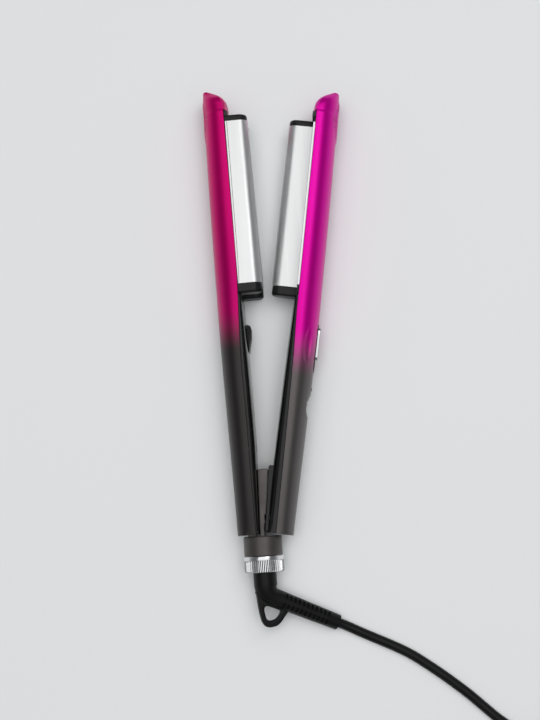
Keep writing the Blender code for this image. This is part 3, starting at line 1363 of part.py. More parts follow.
def plug_body():
    """Flat two-pin plug."""
    x, y, z = plug_place()
    rings = []
    for along, wide, high in PLUG_SHARES:
        ring = []
        for c, s in circle(1.0, PLUG_SEGMENTS):
            ring.append((
                x - PLUG_LENGTH * along,
                y + PLUG_HALF_WIDTH * wide * power(c, 2 / PLUG_ROUNDNESS),
                z + PLUG_HALF_HEIGHT * high * power(s, 2 / PLUG_ROUNDNESS),
            ))
        rings.append(ring)
    return loft("plug_body", rings)


def plug_pin(name, side):
    x, y, z = plug_place()
    middle = y + side * PLUG_PIN_SPACING / 2
    end = x - PLUG_LENGTH - GAP
    outline = circle(PLUG_PIN_RADIUS, SMALL_ROUND_SIDES)
    return extrude(name, outline, lambda p, d: (d, middle + p[0], z + p[1]), end - PLUG_PIN_LENGTH, end)


def bounds(objects):
    """Low and high corners of the objects as they stand."""
    graph = bpy.context.evaluated_depsgraph_get()
    corners = []
    for obj in objects:
        evaluated = obj.evaluated_get(graph)
        corners += [evaluated.matrix_world @ Vector(c) for c in evaluated.bound_box]
    return [tuple(f(c[k] for c in corners) for k in range(3)) for f in (min, max)]


def build_left(arm, looks, frame):
    shell, liner = shell_body(arm), liner_body(arm)
    spigot_opening(arm, shell)
    for along in (REAR_SCREW, FRONT_SCREW):
        screw_seat(arm, liner, shell, along)
    finish(shell, looks["shell"], frame)
    finish(liner, looks["liner"], frame)
    build_jaw(arm, looks, frame)
    for name, side in (("lower", -1), ("upper", 1)):
        finish(heater_block(arm, f"left_heater_{name}", side * BARREL_OFFSET), looks["ceramic"], frame)
        finish(heater_clip(arm, f"left_heater_clip_{name}", side * BARREL_OFFSET), looks["steel"], frame)
    along = arm.jaw_start + FUSE_ALONG
    level = tray_level(arm, along) + GAP + FUSE_RADIUS
    fuse = rod_along(arm, "left_thermal_fuse", along, FUSE_LENGTH, level, 0.0, FUSE_RADIUS)
    finish(fuse, looks["tin"], frame)
    build_thermistor(arm, looks, frame, 0.0)
    finish(finger_ridge(arm), looks["grip"], frame)
    start = (LEAD_START, -LEAD_DEPTH, LEAD_ACROSS)
    finish(lead(arm, "lead", start, arm.jaw_start + LEAD_PAST, LEAD_ACROSS), looks["wire"], frame)


def build_jaw(arm, looks, frame):
    """Pieces that both arms have: jaw, caps, carrier, tip block and liner screws."""
    finish(carrier_tray(arm), looks["carrier"], frame)
    finish(jaw_sheet(arm), looks["plate"], frame)
    finish(jaw_cap(arm, "tip_cap", arm.jaw_end() + GAP, TIP_CAP_LENGTH), looks["cap"], frame)
    finish(jaw_cap(arm, "heel_cap", arm.jaw_start - GAP, -CAP_LENGTH), looks["cap"], frame)
    finish(tip_block(arm), looks["carrier"], frame)
    for name, along in (("rear_screw", REAR_SCREW), ("front_screw", FRONT_SCREW)):
        finish(screw(arm, name, along), looks["steel"], frame)


def build_thermistor(arm, looks, frame, across):
    along = arm.jaw_start + THERMISTOR_ALONG
    level = tray_level(arm, along) + GAP + THERMISTOR_RADIUS
    rod = rod_along(arm, arm.part("thermistor"), along, THERMISTOR_LENGTH, level, across, THERMISTOR_RADIUS)
    finish(rod, looks["glass"], frame)


def build_right(arm, looks, frame):
    shell, liner = shell_body(arm), liner_body(arm)
    fork(arm, liner)
    for along in (REAR_SCREW, FRONT_SCREW):
        screw_seat(arm, liner, shell, along)
    button_dish(arm, shell)
    board_posts(arm, shell)
    _, _, low = slider_levels(arm)
    half_length = (SLIDER_LENGTH + SLIDER_TRAVEL) / 2 + BEZEL_MARGIN + 2 * GAP
    half_width = SLIDER_HALF_WIDTH + BEZEL_MARGIN + 2 * GAP
    far = arm.outer(pocket_middle()) - OVERRUN
    cut(
        shell,
        oval_block(arm, "opening", pocket_middle(), half_length, half_width, far, low),
        thumb_scoop(arm, -1), thumb_scoop(arm, 1),
        post(
            arm, "light_hole", BUTTON_CENTRE + LIGHT_OFFSET, 0.0, far, far + SHELL_WALL + 2 * OVERRUN,
            LIGHT_RADIUS + GAP,
        ),
    )
    finish(shell, looks["shell"], frame)
    finish(liner, looks["liner"], frame)
    build_jaw(arm, looks, frame)
    finish(heater_block(arm, "right_heater", 0.0), looks["ceramic"], frame)
    finish(heater_clip(arm, "right_heater_clip", 0.0), looks["steel"], frame)
    build_thermistor(arm, looks, frame, THERMISTOR_ACROSS)
    inner, outer = board_levels()
    start = (BOARD_START + BOARD_LENGTH + 2 * GAP, (inner + outer) / 2, LEAD_ACROSS)
    finish(lead(arm, "lead", start, arm.jaw_start + LEAD_PAST, LEAD_ACROSS), looks["wire"], frame)
    finish(control_board(arm), looks["board"], frame)
    finish(mode_switch(arm), looks["switch"], frame)
    finish(button_switch(arm), looks["switch"], frame)
    finish(slider_bezel(arm), looks["grip"], frame)
    finish(mode_slider(arm), looks["chrome"], frame)
    finish(power_button(arm), looks["chrome"], frame)
    light_far = arm.outer(BUTTON_CENTRE + LIGHT_OFFSET) - LIGHT_PROUD
    at, inside = BUTTON_CENTRE + LIGHT_OFFSET, light_far + LIGHT_LENGTH
    light = post(arm, "indicator_light", at, 0.0, light_far, inside, LIGHT_RADIUS)
    finish(light, looks["light"], frame)
    level = inner + GAP + CAPACITOR_RADIUS
    length, radius = CAPACITOR_LENGTH, CAPACITOR_RADIUS
    can = rod_along(arm, "capacitor", CAPACITOR_ALONG, length, level, -PART_ACROSS, radius)
    finish(can, looks["tin"], frame)
    low, half = inner + GAP, CHIP_HALF_WIDTH
    chip = box(
        arm, "controller_chip", (CHIP_ALONG, CHIP_ALONG + CHIP_LENGTH), (low, low + CHIP_HEIGHT),
        (PART_ACROSS - half, PART_ACROSS + half),
    )
    finish(chip, looks["switch"], frame)


def build_hinge(left, pin, looks, frame):
    finish(hinge_housing(left, pin), looks["housing"], frame)
    finish(pin_rod("hinge_pin", PIN_HALF_LENGTH, PIN_RADIUS), looks["steel"], frame, location=pin)
    finish(opening_spring(), looks["steel"], frame, location=pin)
    finish(lock_ring(), looks["chrome"], frame)
    finish(swivel_core(), looks["housing"], frame)
    finish(swivel_boot(), looks["rubber"], frame)


def build_cord(looks, frame):
    route, coil, tail = cord_lines()
    lengths = [sum(math.dist(p, q) for p, q in zip(line, line[1:])) for line in (route, coil, tail)]
    print("cord lengths", [round(length, 4) for length in lengths])
    print("coil's least gap to itself", round(least_gap(coil, CORD_RADIUS), 5))
    pieces = [
        (tube("cord_tube", lowered(route), CORD_RADIUS, 2), "rubber"),
        (tube("cord_coil", lowered(coil), CORD_RADIUS, 1), "rubber"),
        (tube("cord_tail", lowered(tail), CORD_RADIUS, 1), "rubber"),
        (cord_tie(), "carrier"),
        (plug_body(), "rubber"),
        (plug_pin("plug_pin_left", -1), "tin"),
        (plug_pin("plug_pin_right", 1), "tin"),
    ]
    return [finish(obj, looks[look], frame) for obj, look in pieces]


def make_looks():
    return {
        "shell": material("magenta_lacquer", (0.62, 0.0, 0.32), 0.25, 0.3),
        "liner": material("black_gloss", (0.012, 0.012, 0.013), 0.22),
        "carrier": material("heat_proof_black", (0.03, 0.03, 0.031), 0.6),
        "plate": material("titanium_plate", (0.72, 0.72, 0.73), 0.28, 1.0),
        "cap": material("cap_grey", (0.09, 0.088, 0.09), 0.4),
        "ceramic": material("heater_ceramic", (0.8, 0.79, 0.75), 0.55),
        "steel": material("steel", (0.5, 0.5, 0.5), 0.3, 1.0),
        "tin": material("tinned_metal", (0.66, 0.65, 0.63), 0.32, 1.0),
        "glass": material("bead_glass", (0.5, 0.2, 0.12), 0.2),
        "grip": material("grip_black", (0.015, 0.015, 0.016), 0.5),
        "wire": material("silicone_wire", (0.7, 0.68, 0.62), 0.5),
        "board": material("board_green", (0.03, 0.16, 0.07), 0.45),
        "switch": material("switch_black", (0.02, 0.02, 0.022), 0.4),
        "chrome": material("chrome", (0.82, 0.82, 0.84), 0.08, 1.0),
        "light": material("light_red", (0.75, 0.05, 0.03), 0.2),
        "housing": material("housing_grey", (0.085, 0.08, 0.08), 0.35),
        "rubber": material("cord_black", (0.02, 0.02, 0.021), 0.45),
    }


def main():
    clear_scene()
    looks = make_looks()
    assembly = empty("assembly")
    left = Arm(
        "left", 1, 0.0, LEFT_TAIL, LEFT_OUTER_SHARES, LEFT_RIM_SHARES, LEFT_FACE_SHARES, LEFT_NOSE_SHARES,
        LEFT_JAW_START, (-BARREL_OFFSET, BARREL_OFFSET), LEFT_CREST, 0.0,
    )
    right = Arm(
        "right", -1, -PIN_INSET, RIGHT_TAIL, RIGHT_OUTER_SHARES, RIGHT_RIM_SHARES, RIGHT_FACE_SHARES,
        RIGHT_NOSE_SHARES, RIGHT_JAW_START, (0.0,), RIGHT_CREST, RIGHT_CREST_RISE,
    )
    pin = Vector((
        ARM_DATUM_X + PIN_INSET * math.cos(OPEN_ANGLE), ARM_DATUM_Y - PIN_INSET * math.sin(OPEN_ANGLE), 0.0,
    ))
    left_frame = empty("left_arm", assembly, (ARM_DATUM_X, ARM_DATUM_Y, 0.0), (0.0, 0.0, LEFT_SPLAY))
    right_frame = empty("right_arm", assembly, pin, (0.0, 0.0, -OPEN_ANGLE))
    build_left(left, looks, left_frame)
    build_right(right, looks, right_frame)
    build_hinge(left, pin, looks, assembly)
    cord = set(build_cord(looks, assembly))
    bpy.context.view_layer.update()
    body = [obj for obj in bpy.data.objects if obj.type == "MESH" and obj not in cord]
    low, high = bounds(body)
    shift = Vector((-(low[0] + high[0]) / 2, -(low[1] + high[1]) / 2, -low[2]))
    assembly.location = shift
    bpy.context.view_layer.update()
    print("assembly shift", [round(v, 6) for v in shift])
    print("hinge pin", [round(v, 6) for v in pin + shift])


main()
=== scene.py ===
"""Hair crimper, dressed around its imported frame: lacquered shells, bare metal jaws, cord and table.

Metres, in the frame's own axes. The arms' outlines repeat the part's named sizes, with finer steps.
"""

from dataclasses import dataclass
from math import asin, atan2, copysign, cos, hypot, pi, radians, sin, sqrt, tan

import bmesh
import bpy
import numpy as np
from mathutils import Matrix, Vector


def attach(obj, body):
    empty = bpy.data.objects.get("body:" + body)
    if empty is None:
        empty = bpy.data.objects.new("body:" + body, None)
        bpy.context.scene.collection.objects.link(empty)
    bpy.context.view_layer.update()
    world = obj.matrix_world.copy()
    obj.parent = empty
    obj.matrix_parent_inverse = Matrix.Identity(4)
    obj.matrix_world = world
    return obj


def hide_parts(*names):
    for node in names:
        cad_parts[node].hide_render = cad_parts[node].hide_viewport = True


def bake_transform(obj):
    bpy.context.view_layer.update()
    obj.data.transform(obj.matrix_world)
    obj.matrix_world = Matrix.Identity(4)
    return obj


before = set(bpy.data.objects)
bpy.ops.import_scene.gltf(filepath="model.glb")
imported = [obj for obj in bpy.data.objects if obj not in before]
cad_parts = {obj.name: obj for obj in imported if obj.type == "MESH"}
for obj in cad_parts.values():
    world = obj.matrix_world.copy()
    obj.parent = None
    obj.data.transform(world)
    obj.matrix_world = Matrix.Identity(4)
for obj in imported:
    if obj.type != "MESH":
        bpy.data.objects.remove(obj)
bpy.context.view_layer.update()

MM = 0.001
GAP = 0.3 * MM
OVERRUN = 1.5 * MM
MERGE = 1e-7

# Where the collar's frame, the arms and the pin stand
SHIFT = Vector((-24.98, -118.85, 20.51)) * MM
DATUM = Vector((2.6, 12.4, 0.0)) * MM
LEFT_SPLAY = radians(1.45)
OPEN_ANGLE = radians(10.15)
PIN_INSET = 4.8 * MM
PIN = DATUM + Vector((PIN_INSET * cos(OPEN_ANGLE), -PIN_INSET * sin(OPEN_ANGLE), 0.0))

# Arm outlines, as the part has them
ARM_LENGTH = 292.0 * MM
LEFT_TAIL = 11.0 * MM
RIGHT_TAIL = 10.0 * MM
ARM_HALF_WIDTH = 20.5 * MM
SHELL_WALL = 2.0 * MM
SHELL_ROUNDNESS = 2.4
SHELL_EDGE = 0.35 * MM
SHELL_DEPTH = 20.0 * MM
HANDLE_RIM_DEPTH = 6.4 * MM
FACE_DEPTH = 1.5 * MM
NOSE_ROOT = 0.9346 * ARM_LENGTH
NOSE_LENGTH = 0.0589 * ARM_LENGTH
NOSE_CLEARANCE = 4.3 * MM
SOLE_STEP = 0.7 * MM
FIELD_CENTRE = 270.0 * MM
FIELD_HALF_LENGTH = 15.5 * MM
FIELD_HALF_WIDTH = 10.0 * MM
FIELD_HEIGHT = 0.6 * MM
COARSE_STEP = 9.0 * MM
RIM_STEP = 5.0 * MM
FIELD_STEP = 1.3 * MM
END_STEPS = (0.08, 0.2, 0.36, 0.56, 0.8)
END_REACH = 1.1 * MM
END_LEAST = 1.2 * MM
LEFT_OUTER = (
    (-0.03, 0.955), (0.05, 0.955), (0.11, 0.96), (0.22, 0.973), (0.33, 0.985), (0.44, 0.985),
    (0.55, 0.97), (0.67, 0.952), (0.78, 0.93), (0.86, 0.905), (0.94, 0.872),
)
RIGHT_OUTER = (
    (-0.03, 1.0), (0.05, 1.005), (0.11, 1.015), (0.22, 1.03), (0.33, 1.05), (0.44, 1.055),
    (0.55, 1.03), (0.67, 1.002), (0.78, 0.97), (0.86, 0.94), (0.94, 0.908),
)
LEFT_RIM = (
    (-0.03, 1.04), (0.13, 1.0), (0.22, 0.96), (0.36, 0.98),
    (0.46, 0.82), (0.55, 0.64), (0.72, 0.59), (0.94, 0.59),
)
RIGHT_RIM = (
    (-0.03, 1.38), (0.13, 1.31), (0.22, 1.25), (0.38, 1.11),
    (0.47, 0.96), (0.56, 0.90), (0.72, 0.80), (0.94, 0.66),
)
LEFT_FACE = (
    (-0.03, 2.85), (0.05, 2.1), (0.1, 1.65), (0.15, 1.15),
    (0.26, 0.85), (0.37, 0.8), (0.45, 1.05), (0.52, 1.3),
)
RIGHT_FACE = ((-0.03, 1.0), (0.13, 1.0), (0.21, 1.1), (0.32, 1.25), (0.42, 1.6), (0.52, 2.1))
WIDTH = (
    (-0.03, 0.73), (0.0, 0.79), (0.05, 0.87), (0.12, 0.95), (0.22, 0.99),
    (0.32, 1.0), (0.37, 1.0), (0.83, 1.0), (0.88, 1.0), (0.94, 0.99),
)
LEFT_NOSE = (
    (0.01, 0.189, 0.872, 0.052, 0.985), (0.2, 0.195, 0.871, 0.049, 0.969),
    (0.4, 0.235, 0.873, 0.058, 0.944), (0.58, 0.313, 0.874, 0.166, 0.859),
    (0.73, 0.447, 0.874, 0.295, 0.687), (0.86, 0.615, 0.862, 0.464, 0.537),
    (0.95, 0.743, 0.856, 0.625, 0.43), (1.0, 0.801, 0.832, 0.749, 0.2),
)
RIGHT_NOSE = (
    (0.01, 0.211, 0.908, 0.082, 0.985), (0.2, 0.219, 0.908, 0.084, 0.974),
    (0.4, 0.278, 0.908, 0.109, 0.935), (0.58, 0.387, 0.905, 0.196, 0.843),
    (0.73, 0.52, 0.895, 0.312, 0.688), (0.86, 0.642, 0.886, 0.485, 0.529),
    (0.95, 0.758, 0.877, 0.646, 0.4), (1.0, 0.828, 0.858, 0.792, 0.19),
)
LINER_WALL = 2.0 * MM
LINER_ROUNDNESS = 3.2
LINER_EDGE = 0.25 * MM
LINER_HOLLOW_START = 15.0 * MM

# Jaws and their caps
JAW_WALL = 1.2 * MM
JAW_BASE_RISE = 1.5 * MM
JAW_LENGTH = 0.37808 * ARM_LENGTH
JAW_HALF_WIDTH = 20.0 * MM
BARREL_HALF_WIDTH = 6.4 * MM
BARREL_OFFSET = JAW_HALF_WIDTH - BARREL_HALF_WIDTH
BEND_RADIUS = 0.9 * MM
LEFT_CREST = 12.2 * MM
RIGHT_CREST = 13.2 * MM
RIGHT_CREST_RISE = 1.1 * MM
LEFT_JAW_START = 0.5286 * ARM_LENGTH
RIGHT_JAW_START = 0.52774 * ARM_LENGTH
CAP_LENGTH = 6.2 * MM
TIP_CAP_LENGTH = 4.1 * MM
CAP_INSET = 0.5 * MM
CAP_ROUND = 1.8 * MM
PLATE_LINE_RADIUS = 0.14 * MM
PLATE_LINE_HEEL = 1.3 * MM
PLATE_LINE_TIP = 1.9 * MM
PLATE_LINE_STEP = 10.0 * MM

# Finger ridge: its height along it, and its crown across
RIDGE_START = 0.37671 * ARM_LENGTH
RIDGE_LENGTH = 0.0617 * ARM_LENGTH
RIDGE_HEIGHT = 2.9 * MM
RIDGE_HALF_WIDTH = 8.0 * MM
RIDGE_SHOULDER = 0.8
RIDGE_EDGE = 0.35 * MM
RIDGE = ((0.0, 0.05), (0.3, 0.5), (0.5, 0.85), (0.68, 1.0), (0.9, 0.98), (0.97, 0.75), (1.0, 0.1))

# Collar, hinge housing and pin
COLLAR_RADIUS = 12.75 * MM
COLLAR_LENGTH = 12.9 * MM
COLLAR_EDGE = 1.0 * MM
COLLAR_TOP_INSET = 1.6 * MM
COLLAR_CHAMFER = 0.2 * MM
COLLAR_BORE_RADIUS = 10.0 * MM
COLLAR_BORE_DEPTH = 9.5 * MM
PIN_RADIUS = 2.0 * MM
EYE_RADIUS = 5.0 * MM
HOUSING_HALF_WIDTH = 0.47317 * ARM_HALF_WIDTH
BLOCK_TOP = 31.5 * MM
BLOCK_HEIGHT = 4.9 * MM
BLOCK_EDGE = 0.9 * MM
BLOCK = ((-0.42, -0.2), (-0.22, -0.16), (0.47, 0.69), (0.5, 0.78), (0.95, 1.0), (1.0, 0.86))
GROOVE_ALONG = 15.0 * MM
GROOVE_HALF_WIDTH = 0.15 * MM
SEAM_BELOW_TOP = 16.5 * MM
SEAM_HALF_WIDTH = 0.18 * MM
SEAM_DEPTH = 0.5 * MM
SPIGOT_LENGTH = 15.0 * MM
SPIGOT_HALF_WIDTH = 8.0 * MM
SPIGOT_NEAR = 6.9 * MM
SPIGOT_FAR = 12.0 * MM
SPRING_POCKET_HALF_WIDTH = 4.6 * MM
SPRING_RADIUS = 3.2 * MM
SPRING_WIRE_RADIUS = 0.6 * MM
SPRING_LEG = 11.0 * MM
CHEEK_THICKNESS = 2.6 * MM
CHEEK_TOP = 34.0 * MM
CHEEK_REACH = 1.3 * MM
CHEEK_DEPTH = 8.0 * MM
CHEEK_EDGE = 0.5 * MM
CHEEK = ((-0.285, -3.2), (-0.26, -0.9), (0.35, -0.15), (0.8, 0.75), (0.97, 0.9), (1.0, 0.3))
FORK_HALF_GAP = HOUSING_HALF_WIDTH + 2 * GAP
PIN_HALF_LENGTH = HOUSING_HALF_WIDTH + 3.2 * MM
SEAT_ALONG = 9.0 * MM
SEAT_LENGTH = 3.0 * MM
SEAT_THICKNESS = 1.6 * MM

# Lock ring; the rows give a way from the smooth band or the low end, an inset and the knurls' share
RING_RADIUS = 13.1 * MM
RING_SMOOTH_LENGTH = 2.4 * MM
RING_LENGTH = 10.4 * MM
RING_BORE_RADIUS = 8.1 * MM
RING_EDGE = 0.35 * MM
KNURL_COUNT = 54
KNURL_SIDES = 8
KNURL_DEPTH = 0.7 * MM
KNURL_SHARE = 0.32
KNURL_TWIST = 0.126
KNURL_START = 0.7 * MM
KNURL_END = 0.8 * MM
RING_WAIST = ((-0.1 * MM, 0.0, 0.0), (0.0, 0.25 * MM, 0.0), (0.25 * MM, 0.25 * MM, 0.0), (0.4 * MM, 0.0, 0.7))
RING_FOOT = ((0.35 * MM, 0.05 * MM, 0.8), (0.0, 0.45 * MM, 0.0))

# Slider, its bezel and scoops, and the power button
SLIDER_LENGTH = 0.08219 * ARM_LENGTH
SLIDER_HALF_WIDTH = 4.0 * MM
SLIDER_PROUD = 1.9 * MM
SLIDER_TRAVEL = 0.25 * SLIDER_LENGTH
SLIDER_THICKNESS = 4.0 * MM
SLIDER_FRONT = 0.44589 * ARM_LENGTH
SLIDER_MIDDLE = SLIDER_FRONT - SLIDER_LENGTH / 2
SLIDER_RIDGE_DEPTH = 0.8 * MM
SLIDER_SMOOTH_END = 5.0 * MM
SLIDER_EDGE = 0.6 * MM
RIDGE_COUNT = 12
RIDGE_PITCH = (SLIDER_LENGTH - SLIDER_SMOOTH_END - 2.5 * MM) / (RIDGE_COUNT - 1)
STEM_HALF_LENGTH = 2.0 * MM
STEM_HALF_WIDTH = 1.0 * MM
POCKET_MIDDLE = SLIDER_FRONT - (SLIDER_LENGTH + SLIDER_TRAVEL) / 2
POCKET_HALF_LENGTH = (SLIDER_LENGTH + SLIDER_TRAVEL) / 2
BEZEL_MARGIN = 1.1 * MM
BEZEL_FLOOR = 1.0 * MM
BEZEL_PROUD = 0.2 * MM
BEZEL_EDGE = 0.3 * MM
SCOOP_CENTRE = 0.39212 * ARM_LENGTH
SCOOP_HALF_LENGTH = 10.5 * MM
SCOOP_DEPTH = 1.7 * MM
SCOOP_HALF_HEIGHT = 4.2 * MM
SCOOP_LEVEL = 15.6 * MM
SCOOP_ACROSS = 0.85854 * ARM_HALF_WIDTH
SCOOP_TILT = radians(42)
BUTTON_CENTRE = 0.26027 * ARM_LENGTH
BUTTON_RADIUS = 4.0 * MM
BUTTON_PROUD = 0.6 * MM
BUTTON_DIP = 0.35 * MM
BUTTON_FLANGE = 1.1 * MM
BUTTON_FLANGE_HEIGHT = 0.9 * MM
DISH_DEPTH = 2.0 * MM
DISH_HALF_WIDTH = 7.2 * MM
DISH_BOSS_RADIUS = 8.6 * MM
DISH_BOSS_DEPTH = 3.2 * MM
SADDLE_DEPTH = 1.8 * MM
SADDLE_HALF_LENGTH = 8.0 * MM
SADDLE_HALF_WIDTH = 13.5 * MM
LIGHT_RADIUS = 1.2 * MM
LIGHT_OFFSET = 11.5 * MM

# Liner screws
SCREW_HEAD_RADIUS = 2.6 * MM
SCREW_HEAD = 1.6 * MM
SCREW_EDGE = 0.5 * MM
SCREW_RADIUS = 1.3 * MM
SCREW_LENGTH = 9.0 * MM
SCREW_SINK = 0.8 * MM
CROSS_REACH = 1.5 * MM
CROSS_HALF_WIDTH = 0.32 * MM
CROSS_DEPTH = 0.9 * MM
SCREWS = {"rear_screw": CHEEK_TOP + 12.0 * MM, "front_screw": RIGHT_JAW_START - CAP_LENGTH - 6.5 * MM}

# Boot, cord, coil and plug
BOOT_ROLL = radians(17.5)
BOOT_ELBOW_DROP = 38.0 * MM
BOOT_ARM_REACH = 48.1 * MM
BOOT_ARM_DROP = 22.0 * MM
BOOT_NECK_RADIUS = 7.7 * MM
BOOT_ARM_ROOT_RADIUS = 6.1 * MM
BOOT_END_RADIUS = 5.15 * MM
BOOT_ELBOW_RADIUS = 9.0 * MM
BOOT_ELBOW_STEPS = 18
SLOT_COUNT = 11
SLOT_FIRST = 12.6 * MM
SLOT_PITCH = 3.15 * MM
SLOT_LENGTH = 1.6 * MM
SLOT_DEPTH = 1.3 * MM
SLOT_HALF_SPAN = 2.0 * MM
SLOT_SPREAD = radians(31)
LOOP_HALF_THICKNESS = 2.4 * MM
LOOP_WIDTH = 20.0 * MM
LOOP_DROP = 24.0 * MM
LOOP_STEP = 1.2 * MM
LOOP_EDGE = 1.3 * MM
LOOP_OUTER = (
    (-0.36, 0.1), (-0.33, -0.02), (-0.28, -0.4), (-0.2, -0.72), (-0.1, -0.86), (0.02, -0.905), (0.16, -0.9),
    (0.3, -0.87), (0.42, -0.8), (0.56, -0.66), (0.69, -0.5), (0.62, -0.3), (0.3, 0.0), (0.0, 0.1),
)
LOOP_HOLE = (
    (-0.11, -0.39), (-0.07, -0.34), (0.03, -0.33), (0.36, -0.44), (0.455, -0.48), (0.43, -0.54),
    (0.31, -0.66), (0.19, -0.71), (0.03, -0.715), (-0.06, -0.65), (-0.1, -0.5),
)
CORD_RADIUS = 3.2 * MM
CORD_STEP = 5.0 * MM
CORD_ROUTE = (
    (49.7, -61.8, 4.85), (54.5, -64.2, 3.9), (61.5, -67.9, 3.55), (72.2, -73.1, 3.5), (82.8, -78.3, 3.5),
    (93.3, -84.2, 3.5), (103.1, -91.1, 3.5), (112.5, -98.2, 3.5), (121.6, -105.6, 3.5), (130.4, -113.2, 3.5),
    (139.0, -121.4, 3.5), (148.3, -130.0, 3.5), (159.0, -137.4, 3.8), (172.0, -141.3, 4.2),
)
TAIL_ROUTE = (
    (182.0, -242.0, 11.3), (174.0, -243.7, 10.0), (166.0, -245.7, 8.2), (158.0, -247.2, 7.2),
    (153.0, -247.7, 7.1),
)
COIL_X = 196.0 * MM
COIL_Y = -190.0 * MM
COIL_LEVEL = 4.5 * MM
COIL_STEPS = 24
COIL_CLIMB_START = 3.25
COIL_CLIMB_END = 3.75
COIL_TURNS = 7.5
COIL_CLIMB_DIP = 0.9 * MM
COIL_OUTER_RADIUS = 48.0 * MM
COIL_PITCH = 7.0 * MM
COIL_INNER_RADIUS = COIL_OUTER_RADIUS - COIL_PITCH * COIL_CLIMB_START
COIL_LAYER_RISE = 7.1 * MM
COIL_END_RUN = 7.0 * MM
TIE_WALL = 0.7 * MM
TIE_REACH = 4.0 * MM
TIE_SLACK = 0.35 * MM
TIE_NEAR_SLACK = 1.0 * MM
TIE_CORNER = 3.0 * MM
TIE = (
    (-1.0, 0.0), (-1.0, 0.7), (-0.93, 1.0), (-0.5, 0.86), (0.0, 1.0),
    (0.5, 0.86), (0.93, 1.0), (1.0, 0.7), (1.0, 0.0),
)
PLUG_LENGTH = 35.0 * MM
PLUG_HALF_WIDTH = 17.5 * MM
PLUG_HALF_HEIGHT = 6.8 * MM
PLUG = (
    (0.0, 0.26, 0.66), (0.3, 0.3, 0.72), (0.46, 0.62, 0.86),
    (0.62, 0.94, 1.0), (0.94, 1.0, 1.0), (1.0, 0.93, 0.86),
)
PLUG_PIN_LENGTH = 19.0 * MM
PLUG_PIN_RADIUS = 2.0 * MM
PLUG_PIN_OFFSET = 9.5 * MM
SLEEVE_LENGTH = 10.0 * MM
SLEEVE_EDGE = 0.2 * MM

# Camera: its focal length in pixels of the 540 x 720 picture, its height, and the pixel and place under it
FOCAL_PIXELS = 1480.0
PICTURE_CENTRE = (270.0, 360.0)
PICTURE_HEIGHT = 720.0
FOOT_PIXEL = (320.0, 531.0)
FOOT = Vector((38.1, 0.9, 0.0)) * MM
CAMERA_LEVEL = 1.005
PICTURE_TURN = radians(3.85)
SENSOR = 36.0

# Table, room and lamps: kind, spot, strength, and size or angle
TABLE_REACH = 4.0
TABLE_COLOUR = (0.755, 0.775, 0.79)
ROOM_COLOUR = (0.93, 0.96, 1.0, 1.0)
ROOM_STRENGTH = 0.14
HORIZON_STRENGTH = 0.45
HORIZON_START = 0.02
HORIZON_RISE = 0.4
FILL_COLOUR = (1.0, 0.985, 0.965)
LAMPS = {
    "softbox": ("AREA", (0.02, 0.12, 1.8), 16.0, 2.3),
    "key": ("AREA", (0.55, 0.45, 1.5), 1.6, 0.5),
    "fill": ("SUN", (0.03, 0.05, 1.0), 1.42, radians(36.0)),
}

# Lacquer of each arm: where charcoal ends and magenta starts, then the bright, deep and charcoal colours. The
# right arm's colours are brighter than the left's: painted light and shade on one lacquer.
LACQUERS = {
    "left": (0.109, 0.14, (0.66, 0.0, 0.165), (0.56, 0.0, 0.15), (0.05, 0.045, 0.045)),
    "right": (0.092, 0.128, (0.74, 0.0, 0.37), (0.7, 0.0, 0.34), (0.125, 0.114, 0.112)),
}
DEEP_FADE = 0.12
FLAKE_SCALE = 5200.0
LACQUER_GRAIN = 4200.0
LACQUER_GRAIN_DEPTH = 0.02 * MM
PLASTIC_GRAIN = 2600.0
PLASTIC_GRAIN_DEPTH = 0.03 * MM
STIPPLE_SCALE = 760.0
# Share of the deep colour that the stipple's pits are painted: painted shade in the pits.
STIPPLE_SHADE = 0.12
STIPPLE_DEPTH = 0.25 * MM
STIPPLE_SPREAD_SHARE = 1.7
BRUSH_STRETCH = (2400.0, 14.0, 2400.0)
BRUSH_DEPTH = 0.01 * MM
PLATE_GREY = (0.85, 0.85, 0.85)

# Pieces that keep their CAD shape
CAD_LOOKS = {
    "heat_proof": ("left_carrier", "right_carrier", "left_tip_block", "right_tip_block"),
    "ceramic": ("left_heater_lower", "left_heater_upper", "right_heater"),
    "steel": ("left_heater_clip_lower", "left_heater_clip_upper", "right_heater_clip"),
    "cap": ("hinge_pin", "opening_spring"),
    "tin": ("left_thermal_fuse", "capacitor"),
    "bead": ("left_thermistor", "right_thermistor"),
    "wire": ("left_lead", "right_lead"),
    "board": ("control_board",),
    "switch": ("mode_switch", "button_switch", "controller_chip"),
    "housing": ("swivel_core",),
    "light": ("indicator_light",),
}


def smooth_value(table, x, column=1):
    """A curve through the rows of a table, flat past its ends."""
    xs, ys = (np.array([row[k] for row in table], float) for k in (0, column))
    slopes = np.gradient(ys, xs)
    x = min(max(x, xs[0]), xs[-1])
    i = max(0, int(np.searchsorted(xs, x)) - 1)
    span = xs[i + 1] - xs[i]
    t = (x - xs[i]) / span
    keep, near, far = (1 + 2 * t) * (1 - t) ** 2, t * (1 - t) ** 2, t * t * (t - 1)
    return float(keep * ys[i] + near * span * slopes[i] + (1 - keep) * ys[i + 1] + far * span * slopes[i + 1])


def added(name, data):
    """A new object in the scene that holds some data."""
    obj = bpy.data.objects.new(name, data)
    bpy.context.scene.collection.objects.link(obj)
    return obj


